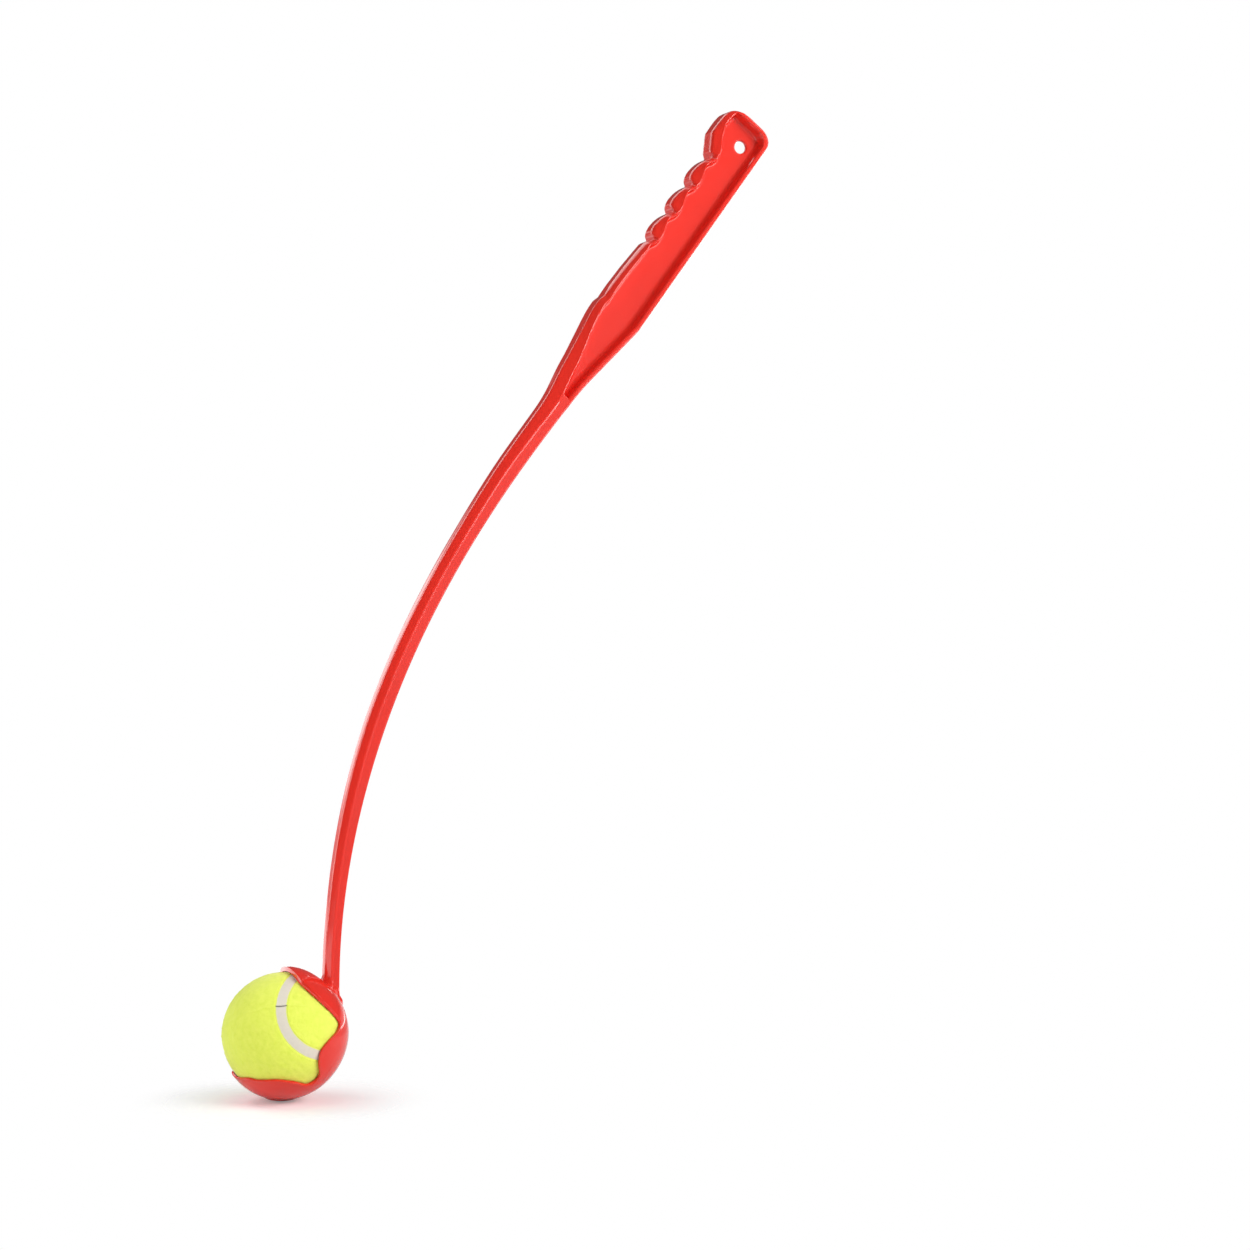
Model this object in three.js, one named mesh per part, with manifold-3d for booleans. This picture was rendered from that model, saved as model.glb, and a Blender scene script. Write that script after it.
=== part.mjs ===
// Dog ball thrower with its tennis ball, in millimetres, +Z up.
// The wand is one moulding: recessed finger-grip handle, curved shaft and two-jawed cup.
// The wand's middle plane is XZ, the cup's mouth and the finger side look towards -X,
// and the origin is the middle of the grip, where a hand closes round the handle.

import * as THREE from 'three';
import { mergeVertices } from 'three/addons/utils/BufferGeometryUtils.js';
import Module from 'manifold-3d';

const wasm = await Module();
wasm.setup();

// Ball
const ballRadius = 32.5;
const ballClearance = 0.4;
const coreWall = 3.0;
const feltThickness = 2.2;
const pieceGap = 0.3;
const seamWidth = 5.6;
const seamSink = 0.5;
const seamWaveShare = 0.147;

// Cup
const cupWall = 1.6;
const upperTipFlare = 1.3;
const lowerTipThinning = 0.6;
const backThinning = 0.4;
const keelHeight = 0.7;

// Handle
const handleLength = 142.4;
const handleDepth = 28.0;
const handleThickness = 15.0;
const backRimWidth = 3.2;
const endRimWidth = 2.9;
const fingerLipWidth = 1.0;
const webThickness = 2.4;
const wallDraft = 1.3;
const pocketFillet = 1.0;
const pocketCornerRadius = 7.0;
const pocketTipLength = 60.0;
const backEdgeRadius = 1.1;
const fingerPitch = 20.5;
const fingerCount = 3;
const fingerNotchDepth = 4.5;
const lobeRise = 4.4;
const flangeLength = 47.1;
const hangHoleDiameter = 7.2;
const hangHoleFromEnd = 15.1;
const hangHoleFromBack = 12.0;
const gripFromCorner = 76.0;
const gripFromBack = 12.0;

// Shaft
const shaftLength = 434.1;
const shaftDepth = 10.5;
const shaftThickness = 11.0;
const footInset = 3.7;

// Headings of the back edge, in degrees above horizontal
const handleHeading = 53.0;
const neckHeading = 44.33;
const shaftTopHeading = 50.44;
const shaftFootHeading = 93.28;

// One overrun serves every cut that has to pass right through a face.
const overrun = 2.0;

const aroundCup = 54;
const acrossCup = 28;
const aroundHollow = 46;
const acrossHollow = 26;
const aroundBall = 36;
const acrossBall = 20;
const aroundCore = 32;
const aroundHole = 32;
const shaftSteps = 26;
const stepsPerFinger = 9;
const coreArcSteps = 8;
const seamSteps = 80;
const cutEdgePoints = 64;
const walkSteps = 872;

const rad = THREE.MathUtils.degToRad;
const { lerp, clamp, smoothstep } = THREE.MathUtils;

// Reads a table of [place, value] rows at a place, with straight runs between the rows.
function readTable(rows, place) {
  if (place <= rows[0][0]) return rows[0][1];
  for (let i = 1; i < rows.length; i += 1) {
    const [p0, v0] = rows[i - 1];
    const [p1, v1] = rows[i];
    if (place <= p1) return lerp(v0, v1, (place - p0) / (p1 - p0));
  }
  return rows[rows.length - 1][1];
}

// A station is a distance along the back edge, in mm: 0 is the corner between neck and handle,
// plus runs up the handle to its end, minus runs down the shaft to the level of the ball's centre.

// Heading of the back edge, by share of the shaft's length below the corner.
const cornerShares = [0.012, 0.0963, 0.1333];
const bendPower = 1.4155;
function headingAt(station) {
  const share = -station / shaftLength;
  const [cornerEnd, neckEnd, shaftStart] = cornerShares;
  if (share <= -cornerEnd) return handleHeading;
  if (share < cornerEnd) {
    return lerp(handleHeading, neckHeading, (share + cornerEnd) / (cornerEnd * 2));
  }
  if (share < neckEnd) return neckHeading;
  if (share < shaftStart) {
    return lerp(neckHeading, shaftTopHeading, (share - neckEnd) / (shaftStart - neckEnd));
  }
  const along = (share - shaftStart) / (1 - shaftStart);
  return lerp(shaftTopHeading, shaftFootHeading, along ** bendPower);
}

function headingVector(station) {
  const angle = rad(headingAt(station));
  return new THREE.Vector2(Math.cos(angle), Math.sin(angle));
}

// The perpendicular that points from the back edge to the finger side.
function acrossVector(station) {
  const along = headingVector(station);
  return new THREE.Vector2(-along.y, along.x);
}

// The back edge in the XZ plane, walked down from the corner in small steps.
const cornerPoint = headingVector(handleLength).multiplyScalar(-gripFromCorner)
  .addScaledVector(acrossVector(handleLength), -gripFromBack);
const backEdgeWalk = [cornerPoint];
const walkStep = shaftLength / walkSteps;
for (let i = 0; i < walkSteps; i += 1) {
  const middle = -(i + 0.5) * walkStep;
  backEdgeWalk.push(backEdgeWalk[i].clone().addScaledVector(headingVector(middle), -walkStep));
}

function backEdgeAt(station) {
  if (station >= 0) {
    return cornerPoint.clone().addScaledVector(headingVector(handleLength), station);
  }
  const place = clamp(-station / walkStep, 0, walkSteps - 1e-6);
  const index = Math.floor(place);
  return backEdgeWalk[index].clone().lerp(backEdgeWalk[index + 1], place - index);
}

// The cup's centre lies level with the foot of the shaft's back edge, which sinks into the shell
// by the foot's inset.
const cupInnerRadius = ballRadius + ballClearance;
const cupOuterRadius = cupInnerRadius + cupWall;
const cupCentre2 = backEdgeAt(-shaftLength)
  .addScaledVector(acrossVector(-shaftLength), cupOuterRadius - footInset);
const cupCentre = new THREE.Vector3(cupCentre2.x, 0, cupCentre2.y);

// Places a point of a cross-section: depth from the back edge and offset across the wand.
function sectionPoint(station, depth, side) {
  const base = backEdgeAt(station);
  const across = acrossVector(station >= 0 ? handleLength : station);
  return new THREE.Vector3(base.x + across.x * depth, side, base.y + across.y * depth);
}

// Depth of the finger edge along the flange, as shares of the handle's depth,
// by shares of the flange's length.
const flangeShares = [[0, 1.005], [0.2, 1.02], [0.5, 1.005], [0.78, 0.972], [0.89, 0.953]];
// The lobe above the fingers is facetted: share of its length, share of its rise.
const lobeShares = [
  [0, 0], [0.053, 0.35], [0.1, 0.46], [0.183, 0.64], [0.263, 0.82], [0.337, 0.98], [0.367, 1],
  [0.562, 1], [0.66, 0.985], [0.763, 0.94], [0.861, 0.79], [0.917, 0.64], [0.959, 0.44],
  [0.984, 0.17], [0.994, -0.17], [1, -0.67],
];
// A finger crest rises steeply from its lower notch and falls gently to its upper one.
const crestShares = [
  [0, 0], [0.015, 0.35], [0.04, 0.6], [0.085, 0.78], [0.16, 0.91], [0.27, 0.99], [0.34, 1],
  [0.52, 0.9], [0.65, 0.75], [0.765, 0.56], [0.87, 0.33], [0.95, 0.12], [1, 0],
];
function crestPlace(station) {
  const place = (station - flangeLength) / fingerPitch;
  return place - Math.floor(place);
}

const fingersEnd = flangeLength + fingerPitch * fingerCount;
const lobeLength = handleLength - fingersEnd;

// Below the corner the wand narrows into the shaft: [share of the shaft's length, blend].
const neckDepthShares = [
  [0, 1], [0.015, 1.045], [0.028, 0.99], [0.043, 0.889], [0.06, 0.754], [0.096, 0.485], [0.115, 0.36],
  [0.133, 0.235], [0.15, 0.16], [0.165, 0.12], [0.2, 0.1], [0.26, 0.085], [0.36, 0.015], [0.45, 0],
];
const shaftDepthShares = [[0.62, 1], [0.69, 0.95], [0.78, 0.85], [0.86, 0.77], [1, 0.77]];
function depthAt(station) {
  if (station < 0) {
    const share = -station / shaftLength;
    const shaft = shaftDepth * readTable(shaftDepthShares, share);
    return lerp(shaft, handleDepth, readTable(neckDepthShares, share));
  }
  const notchDepth = handleDepth - fingerNotchDepth;
  if (station < flangeLength) {
    const rows = [...flangeShares, [1, notchDepth / handleDepth]];
    return handleDepth * readTable(rows, station / flangeLength);
  }
  if (station < fingersEnd) return notchDepth + fingerNotchDepth * readTable(crestShares, crestPlace(station));
  const rise = readTable(lobeShares, (station - fingersEnd) / lobeLength);
  return lerp(notchDepth, handleDepth + lobeRise, rise);
}

// The back edge rounds off into the end of the handle: share of the handle's depth.
const endRoundShares = [
  [0.935, 0], [0.958, 0.012], [0.975, 0.05], [0.985, 0.11], [0.992, 0.18], [0.997, 0.26], [1, 0.36],
];
function backInsetAt(station) {
  return handleDepth * readTable(endRoundShares, station / handleLength);
}

const neckThicknessShares = [[0, 1], [0.14, 0.5], [0.25, 0.25], [0.37, 0.1], [0.5, 0]];
const shaftThicknessShares = [[0.5, 1], [0.69, 0.95], [0.86, 0.82], [1, 0.82]];
const endEdgeShares = [[0.98, 1], [0.992, 0.97], [1, 0.86]];
function thicknessAt(station) {
  if (station >= 0) return handleThickness * readTable(endEdgeShares, station / handleLength);
  const share = -station / shaftLength;
  const shaft = shaftThickness * readTable(shaftThicknessShares, share);
  return lerp(shaft, handleThickness, readTable(neckThicknessShares, share));
}

// Depth of the sloping part of the finger side, as a share of half the thickness.
const shaftSlopeShares = [
  [0, 0.37], [0.053, 0.53], [0.096, 0.87], [0.145, 1.0], [0.2, 0.84], [0.28, 0.75], [0.46, 0.68], [1, 0.67],
];
const flangeSlopeShares = [[0, 0.37], [0.78, 0.36]];
const notchSlopeShare = 0.2;
const fingerSlopeShares = [
  [0, notchSlopeShare], [0.04, 0.57], [0.11, 0.73], [0.27, 0.78], [0.41, 0.62], [0.53, 0.48],
  [0.6, 0.37], [0.68, 0.3], [0.8, 0.23], [0.95, 0.24], [1, notchSlopeShare],
];
const lobeSlopeShares = [
  [0, notchSlopeShare], [0.03, 0.5], [0.098, 0.72], [0.225, 0.87], [0.337, 0.81], [0.512, 0.5],
  [0.589, 0.38], [0.743, 0.38], [0.861, 0.27], [1, 0.2],
];
function slopeAt(station) {
  const half = thicknessAt(station) / 2;
  if (station < 0) return half * readTable(shaftSlopeShares, -station / shaftLength);
  if (station < flangeLength) {
    const rows = [...flangeSlopeShares, [1, notchSlopeShare]];
    return half * readTable(rows, station / flangeLength);
  }
  if (station < fingersEnd) return half * readTable(fingerSlopeShares, crestPlace(station));
  return half * readTable(lobeSlopeShares, (station - fingersEnd) / lobeLength);
}

// The handle's finger side is a flat band between two slopes; the shaft's is half an ellipse.
const bandShare = 0.43;
const bandMiddleShare = 0.6;
const roundStartShare = 0.03;
const roundEndShare = 0.16;
const frontAngles = [25, 50, 72, 90];
// Rounded edges are drawn with two or three points each, as shares of the edge's radius.
const bandEdgeShares = [0.1, 0.4];
const slopeEdgeShares = [0.2, 0.7, 0.6];
const backEdgeShare = 0.3;

// Half of a cross-section, from the middle of the finger side round to the back edge.
function halfSection(station) {
  const half = thicknessAt(station) / 2;
  const depth = depthAt(station);
  const slope = slopeAt(station);
  const inset = backInsetAt(station);
  const edge = Math.min(backEdgeRadius, half / 4);
  const band = half * bandShare;
  const round = smoothstep(-station / shaftLength, roundStartShare, roundEndShare);
  const facets = [
    [depth - edge * bandEdgeShares[0], band * bandMiddleShare],
    [depth - edge * bandEdgeShares[1], band],
    [depth - slope + edge * slopeEdgeShares[0], half - edge * slopeEdgeShares[1]],
    [depth - slope - edge * slopeEdgeShares[2], half],
  ];
  const front = facets.map(([facetDepth, facetSide], i) => {
    const angle = rad(frontAngles[i]);
    const roundDepth = depth - slope * (1 - Math.cos(angle));
    return [lerp(facetDepth, roundDepth, round), lerp(facetSide, half * Math.sin(angle), round)];
  });
  return [
    [depth, 0],
    ...front,
    [inset + edge, half],
    [inset + edge * backEdgeShare, half - edge * backEdgeShare],
    [inset, half - edge],
  ];
}

function wholeSection(station) {
  const half = halfSection(station);
  const mirrored = half.slice(1).reverse().map(([depth, side]) => [depth, -side]);
  return [...half, ...mirrored].map(([depth, side]) => sectionPoint(station, depth, side));
}

// Joins rings of equal length into one closed skin with a flat fan over each end.
function loft(rings) {
  const count = rings[0].length;
  const points = rings.flat();
  const faces = [];
  for (let i = 0; i < rings.length - 1; i += 1) {
    for (let j = 0; j < count; j += 1) {
      const a = i * count + j;
      const b = i * count + ((j + 1) % count);
      faces.push([a, b, b + count], [a, b + count, a + count]);
    }
  }
  for (const [start, flipped] of [[0, true], [(rings.length - 1) * count, false]]) {
    const centre = new THREE.Vector3();
    for (let j = 0; j < count; j += 1) centre.add(points[start + j]);
    points.push(centre.divideScalar(count));
    const hub = points.length - 1;
    for (let j = 0; j < count; j += 1) {
      const a = start + j;
      const b = start + ((j + 1) % count);
      faces.push(flipped ? [b, a, hub] : [a, b, hub]);
    }
  }
  return closedGeometry(points, faces);
}

// Builds a geometry from points and faces, turned so that its faces point out.
function closedGeometry(points, faces) {
  let volume = 0;
  for (const [a, b, c] of faces) {
    volume += points[a].dot(points[b].clone().cross(points[c]));
  }
  const outward = volume > 0 ? faces : faces.map(([a, b, c]) => [a, c, b]);
  const geometry = new THREE.BufferGeometry();
  geometry.setAttribute('position', new THREE.Float32BufferAttribute(points.flatMap((p) => p.toArray()), 3));
  geometry.setIndex(outward.flat());
  return geometry;
}

function solidOf(geometry) {
  const bare = geometry.clone();
  bare.deleteAttribute('normal');
  bare.deleteAttribute('uv');
  const merged = mergeVertices(bare);
  return new wasm.Manifold(new wasm.Mesh({
    numProp: 3,
    vertProperties: Float32Array.from(merged.attributes.position.array),
    triVerts: Uint32Array.from(merged.index.array),
  }));
}

function geometryOf(solid) {
  const mesh = solid.getMesh();
  const geometry = new THREE.BufferGeometry();
  geometry.setAttribute('position', new THREE.BufferAttribute(mesh.vertProperties, 3));
  geometry.setIndex(new THREE.BufferAttribute(mesh.triVerts, 1));
  return geometry;
}

// Stations of the wand's rings, closest together where its outline turns fastest.
const lobeStopShares = [
  0.02, 0.053, 0.1, 0.183, 0.263, 0.337, 0.4, 0.512, 0.589, 0.66, 0.743, 0.8, 0.861, 0.89, 0.917, 0.959,
  0.984, 0.994, 1,
];
const flangeStopShares = [0, 0.2, 0.4, 0.6, 0.78, 0.89, 0.95];
const neckStopShares = [
  0.012, 0.03, 0.05, 0.07, 0.09, 0.1, 0.11, 0.12, 0.13, 0.138, 0.146, 0.155, 0.17, 0.19, 0.215,
];
const shaftFootShare = 0.972;
const stepSkew = 1.3;

function wandStations() {
  const stations = lobeStopShares.map((share) => fingersEnd + lobeLength * share);
  for (let i = 0; i < fingerCount * stepsPerFinger; i += 1) {
    const place = (i % stepsPerFinger) / stepsPerFinger;
    stations.push(flangeLength + fingerPitch * (Math.floor(i / stepsPerFinger) + place ** stepSkew));
  }
  stations.push(fingersEnd);
  for (const share of flangeStopShares) stations.push(flangeLength * share);
  for (const share of neckStopShares) stations.push(-shaftLength * share);
  const lastNeck = neckStopShares[neckStopShares.length - 1];
  for (let i = 1; i <= shaftSteps; i += 1) {
    stations.push(-shaftLength * lerp(lastNeck, shaftFootShare, i / shaftSteps));
  }
  return stations.sort((a, b) => a - b);
}

// The recess in one face of the handle, between the back rim, the end rim and the finger lip.
const pocketTop = handleLength - endRimWidth;
const leastStep = pocketFillet / 20;
const cornerStopShares = [0.4, 0.7, 0.88, 0.97, 1];
function pocketRing(station, face) {
  const half = thicknessAt(station) / 2;
  const floor = webThickness / 2;
  const depthOfPocket = half - floor;
  const corner = Math.max(0, station - (pocketTop - pocketCornerRadius));
  const cornerInset = pocketCornerRadius - Math.sqrt(Math.max(0, pocketCornerRadius ** 2 - corner ** 2));
  const low = backRimWidth + cornerInset;
  const high = Math.max(depthAt(station) - slopeAt(station) - fingerLipWidth, low + pocketFillet * 2);
  const draft = Math.min(wallDraft, (high - low) / 4);
  const fillet = Math.min(pocketFillet, (high - low) / 6);
  const spread = (draft * overrun) / depthOfPocket;
  const outline = [
    [low - spread, half + overrun],
    [low + draft, floor + fillet],
    [low + draft + fillet, floor],
    [high - draft - fillet, floor],
    [high - draft, floor + fillet],
    [high + spread, half + overrun],
  ];
  return outline.map(([depth, side]) => sectionPoint(station, depth, side * face));
}

function pocketSolid(face) {
  const stations = wandStations().filter((s) => s > -pocketTipLength && s < pocketTop);
  for (const share of cornerStopShares) stations.push(pocketTop - pocketCornerRadius * (1 - share));
  stations.push(-pocketTipLength);
  stations.sort((a, b) => a - b);
  const spaced = stations.filter((s, i) => i === 0 || s - stations[i - 1] > leastStep);
  return solidOf(loft(spaced.map((station) => pocketRing(station, face))));
}

function hangHoleSolid() {
  const length = handleThickness + overrun * 2;
  const hole = new THREE.CylinderGeometry(hangHoleDiameter / 2, hangHoleDiameter / 2, length, aroundHole);
  const centre = sectionPoint(handleLength - hangHoleFromEnd, hangHoleFromBack, 0);
  hole.translate(centre.x, centre.y, centre.z);
  return solidOf(hole);
}

// A ball-like skin about the cup's centre, its poles on the axis across the wand.
function roundSkin(radiusAt, around, across) {
  const points = [];
  const faces = [];
  const direction = new THREE.Vector3();
  const place = () => points.push(direction.clone().multiplyScalar(radiusAt(direction)).add(cupCentre));
  for (let i = 1; i < across; i += 1) {
    const tilt = Math.PI * (i / across - 0.5);
    for (let j = 0; j < around; j += 1) {
      const turn = (2 * Math.PI * j) / around;
      direction.set(Math.cos(turn) * Math.cos(tilt), Math.sin(tilt), Math.sin(turn) * Math.cos(tilt));
      place();
    }
  }
  for (let i = 0; i < across - 2; i += 1) {
    for (let j = 0; j < around; j += 1) {
      const a = i * around + j;
      const b = i * around + ((j + 1) % around);
      faces.push([a, a + around, b + around], [a, b + around, b]);
    }
  }
  for (const [side, start] of [[-1, 0], [1, (across - 2) * around]]) {
    direction.set(0, side, 0);
    place();
    const pole = points.length - 1;
    for (let j = 0; j < around; j += 1) {
      const a = start + j;
      const b = start + ((j + 1) % around);
      faces.push(side < 0 ? [a, b, pole] : [b, a, pole]);
    }
  }
  return closedGeometry(points, faces);
}

// The upper jaw's tip stands off the ball, a low keel runs under the lower jaw, and the wall
// thins towards the lower jaw's tip and behind the lower corner. Angles run from +X towards +Z.
const upperTipAngle = 93;
const flareReach = 62;
const lowerTipAngle = 212;
const lowerTipReach = 36;
const backThinAngle = 325;
const backThinReach = 45;
const keelAngle = 266;
const keelReach = 17;
const keelRampShare = 0.45;
const keelSideReach = 13;
const keelSideRampShare = 0.6;
function angleAround(direction) {
  return THREE.MathUtils.euclideanModulo(THREE.MathUtils.radToDeg(Math.atan2(direction.z, direction.x)), 360);
}
function nearness(direction, angle, reach) {
  const away = Math.abs(angleAround(direction) - angle);
  return smoothstep(reach - away, 0, reach);
}
function flareAt(direction) {
  return upperTipFlare * nearness(direction, upperTipAngle, flareReach);
}
function thinningAt(direction) {
  return lowerTipThinning * nearness(direction, lowerTipAngle, lowerTipReach)
    + backThinning * nearness(direction, backThinAngle, backThinReach);
}
function keelAt(direction) {
  const away = Math.abs(angleAround(direction) - keelAngle);
  const tilt = THREE.MathUtils.radToDeg(Math.asin(Math.abs(direction.y)));
  const along = smoothstep(keelReach - away, 0, keelReach * keelRampShare);
  return keelHeight * along * smoothstep(keelSideReach - tilt, 0, keelSideReach * keelSideRampShare);
}

// Edge of the side cut-outs, seen along the axis across the wand: from the upper jaw's tip,
// round the upper corner, the bulge at the back and the lower corner, to the lower jaw's tip.
// Places are shares of the cup's outer radius, from its centre.
const cutEdgeShares = [
  [-0.02, 1.12], [-0.01, 1.03], [0.035, 1.0], [0.065, 0.93], [0.09, 0.83], [0.33, 0.565],
  [0.6, 0.29], [0.65, 0.2], [0.6, 0.12], [0.41, -0.01], [0.285, -0.14], [0.258, -0.27],
  [0.275, -0.4], [0.31, -0.52], [0.285, -0.595], [0.166, -0.665], [-0.08, -0.6], [-0.33, -0.56],
  [-0.58, -0.575], [-0.68, -0.56], [-0.735, -0.59], [-0.79, -0.72],
];
const mouthReachShare = 1.3;
const mouthFootShare = 0.78;
function cutOutSolid() {
  const edge = new THREE.CatmullRomCurve3(
    cutEdgeShares.map(([x, z]) => new THREE.Vector3(x, z, 0).multiplyScalar(cupOuterRadius)),
    false,
    'centripetal',
  );
  const reach = cupOuterRadius * mouthReachShare;
  const outline = new THREE.Shape();
  const points = edge.getSpacedPoints(cutEdgePoints);
  outline.moveTo(points[0].x, points[0].y);
  for (const point of points.slice(1)) outline.lineTo(point.x, point.y);
  outline.lineTo(-reach, -cupOuterRadius * mouthFootShare);
  outline.lineTo(-reach, reach);
  outline.lineTo(points[0].x, reach);
  const prism = new THREE.ExtrudeGeometry(outline, { depth: reach * 2, bevelEnabled: false });
  prism.translate(0, 0, -reach);
  prism.rotateX(Math.PI / 2);
  prism.translate(cupCentre.x, 0, cupCentre.z);
  return solidOf(prism);
}

function wandGeometry() {
  const stick = solidOf(loft(wandStations().map(wholeSection)));
  const outside = (d) => cupOuterRadius + flareAt(d) + keelAt(d) - thinningAt(d);
  const shell = solidOf(roundSkin(outside, aroundCup, acrossCup));
  const hollow = solidOf(roundSkin((d) => cupInnerRadius + flareAt(d), aroundHollow, acrossHollow));
  return geometryOf(
    stick
      .subtract(pocketSolid(-1))
      .subtract(pocketSolid(1))
      .subtract(hangHoleSolid())
      .add(shell.subtract(cutOutSolid()))
      .subtract(hollow),
  );
}

// The ball is built round its own centre, and turned as it sits in the cup.
const coreOuterRadius = ballRadius - feltThickness - pieceGap;
const coreInnerRadius = coreOuterRadius - coreWall;

// A quarter-ring profile turned round the axis: one rubber half shell.
function coreHalfGeometry(side) {
  const profile = [];
  const level = (radius) => Math.asin(pieceGap / 2 / radius);
  for (let i = 0; i <= coreArcSteps; i += 1) {
    const angle = lerp(level(coreOuterRadius), Math.PI / 2, i / coreArcSteps);
    profile.push([coreOuterRadius * Math.cos(angle), coreOuterRadius * Math.sin(angle)]);
  }
  for (let i = coreArcSteps; i >= 0; i -= 1) {
    const angle = lerp(level(coreInnerRadius), Math.PI / 2, i / coreArcSteps);
    profile.push([coreInnerRadius * Math.cos(angle), coreInnerRadius * Math.sin(angle)]);
  }
  profile.push(profile[0]);
  const points = profile.map(([x, y]) => new THREE.Vector2(Math.max(x, 0), y));
  const half = new THREE.LatheGeometry(points, aroundCore);
  half.rotateX(side > 0 ? Math.PI / 2 : -Math.PI / 2);
  return geometryOf(solidOf(half));
}

// The seam is the closed wave that splits a ball into two equal dog-bone panels.
function seamPoint(turn, radius) {
  const main = 1 - seamWaveShare;
  const point = new THREE.Vector3(
    main * Math.cos(turn) + seamWaveShare * Math.cos(3 * turn),
    main * Math.sin(turn) - seamWaveShare * Math.sin(3 * turn),
    2 * Math.sqrt(main * seamWaveShare) * Math.sin(2 * turn),
  );
  return point.setLength(radius);
}

const smallAngle = 1e-3;
// A band that follows the seam, between two radii.
function seamBandSolid(width, lowRadius, highRadius) {
  const points = [];
  const faces = [];
  for (let i = 0; i < seamSteps; i += 1) {
    const turn = (2 * Math.PI * i) / seamSteps;
    const out = seamPoint(turn, 1);
    const ahead = seamPoint(turn + smallAngle, 1).sub(seamPoint(turn - smallAngle, 1)).normalize();
    const across = out.clone().cross(ahead).normalize();
    for (const [radius, side] of [[lowRadius, -1], [highRadius, -1], [highRadius, 1], [lowRadius, 1]]) {
      points.push(out.clone().multiplyScalar(radius).addScaledVector(across, (side * width) / 2));
    }
  }
  for (let i = 0; i < seamSteps; i += 1) {
    const next = (i + 1) % seamSteps;
    for (let j = 0; j < 4; j += 1) {
      const a = i * 4 + j;
      const b = i * 4 + ((j + 1) % 4);
      const c = next * 4 + ((j + 1) % 4);
      const d = next * 4 + j;
      faces.push([a, b, c], [a, c, d]);
    }
  }
  return solidOf(closedGeometry(points, faces));
}

function feltPanels() {
  const felt = new THREE.SphereGeometry(ballRadius, aroundBall, acrossBall);
  const inside = new THREE.SphereGeometry(ballRadius - feltThickness, aroundBall, acrossBall);
  const grooveWidth = seamWidth + pieceGap * 2;
  const groove = seamBandSolid(grooveWidth, ballRadius - feltThickness - overrun, ballRadius + overrun);
  const panels = solidOf(felt).subtract(groove).subtract(solidOf(inside)).decompose();
  return panels.sort((a, b) => b.volume() - a.volume()).slice(0, 2);
}

const plasticRed = { color: 0xd8281e, roughness: 0.16, metalness: 0 };
const feltYellow = { color: 0xd6ec2c, roughness: 0.95, metalness: 0 };
const seamGrey = { color: 0xcbbfb6, roughness: 0.8, metalness: 0 };
const coreRubber = { color: 0x3a3a38, roughness: 0.85, metalness: 0 };

function meshOf(name, geometry, look) {
  geometry.computeVertexNormals();
  const mesh = new THREE.Mesh(geometry, new THREE.MeshStandardMaterial(look));
  mesh.name = name;
  return mesh;
}

const thrower = new THREE.Group();
thrower.add(meshOf('wand', wandGeometry(), plasticRed));

// The core's joint and the felt's seam lie at their own tilts inside the same ball.
const coreTilt = new THREE.Vector3(0.14, 0.56, 0.82).normalize();
const core = new THREE.Group();
core.position.copy(cupCentre);
core.quaternion.setFromUnitVectors(new THREE.Vector3(0, 0, 1), coreTilt);
core.add(meshOf('ball_core_upper', coreHalfGeometry(1), coreRubber));
core.add(meshOf('ball_core_lower', coreHalfGeometry(-1), coreRubber));
thrower.add(core);

const seamAngles = [-73.9, 54.6, -175.7];
const cover = new THREE.Group();
cover.position.copy(cupCentre);
cover.rotation.set(...seamAngles.map(rad), 'XYZ');
const [feltA, feltB] = feltPanels();
cover.add(meshOf('ball_felt_upper', geometryOf(feltA), feltYellow));
cover.add(meshOf('ball_felt_lower', geometryOf(feltB), feltYellow));
const band = seamBandSolid(seamWidth, ballRadius - feltThickness, ballRadius - seamSink);
cover.add(meshOf('ball_seam', geometryOf(band), seamGrey));
thrower.add(cover);

export default thrower;
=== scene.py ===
"""Looks of the dog ball thrower: a glossy moulded wand and a felt ball with a rubber seam.

Lengths are in millimetres until a mesh is made, which is in metres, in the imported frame.
The wand's middle plane is XZ and a station is a distance along its back edge from the corner
between neck and handle, plus up the handle and minus down the shaft.
"""

import math

import bmesh
import bpy
import numpy as np
from mathutils import Matrix, Vector


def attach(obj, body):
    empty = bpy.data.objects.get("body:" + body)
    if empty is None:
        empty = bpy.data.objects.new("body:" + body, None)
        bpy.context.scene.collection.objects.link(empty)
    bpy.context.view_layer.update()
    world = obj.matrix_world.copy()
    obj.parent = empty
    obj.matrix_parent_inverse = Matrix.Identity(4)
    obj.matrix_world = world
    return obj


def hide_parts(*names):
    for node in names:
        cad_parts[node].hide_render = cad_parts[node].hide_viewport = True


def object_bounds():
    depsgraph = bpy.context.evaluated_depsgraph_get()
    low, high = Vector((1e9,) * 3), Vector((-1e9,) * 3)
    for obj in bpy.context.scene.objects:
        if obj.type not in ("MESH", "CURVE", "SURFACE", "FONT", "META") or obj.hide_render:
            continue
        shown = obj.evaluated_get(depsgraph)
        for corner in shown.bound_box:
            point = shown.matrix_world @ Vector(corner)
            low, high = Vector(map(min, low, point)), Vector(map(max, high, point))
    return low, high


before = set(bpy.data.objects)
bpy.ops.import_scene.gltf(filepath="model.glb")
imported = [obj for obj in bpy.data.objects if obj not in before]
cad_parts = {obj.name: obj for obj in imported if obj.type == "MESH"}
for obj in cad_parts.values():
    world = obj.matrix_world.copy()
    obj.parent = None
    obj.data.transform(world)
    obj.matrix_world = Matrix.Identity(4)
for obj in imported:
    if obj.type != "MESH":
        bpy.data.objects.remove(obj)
cad_box = [list(corner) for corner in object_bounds()]

MM = 0.001
scene = bpy.context.scene

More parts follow.
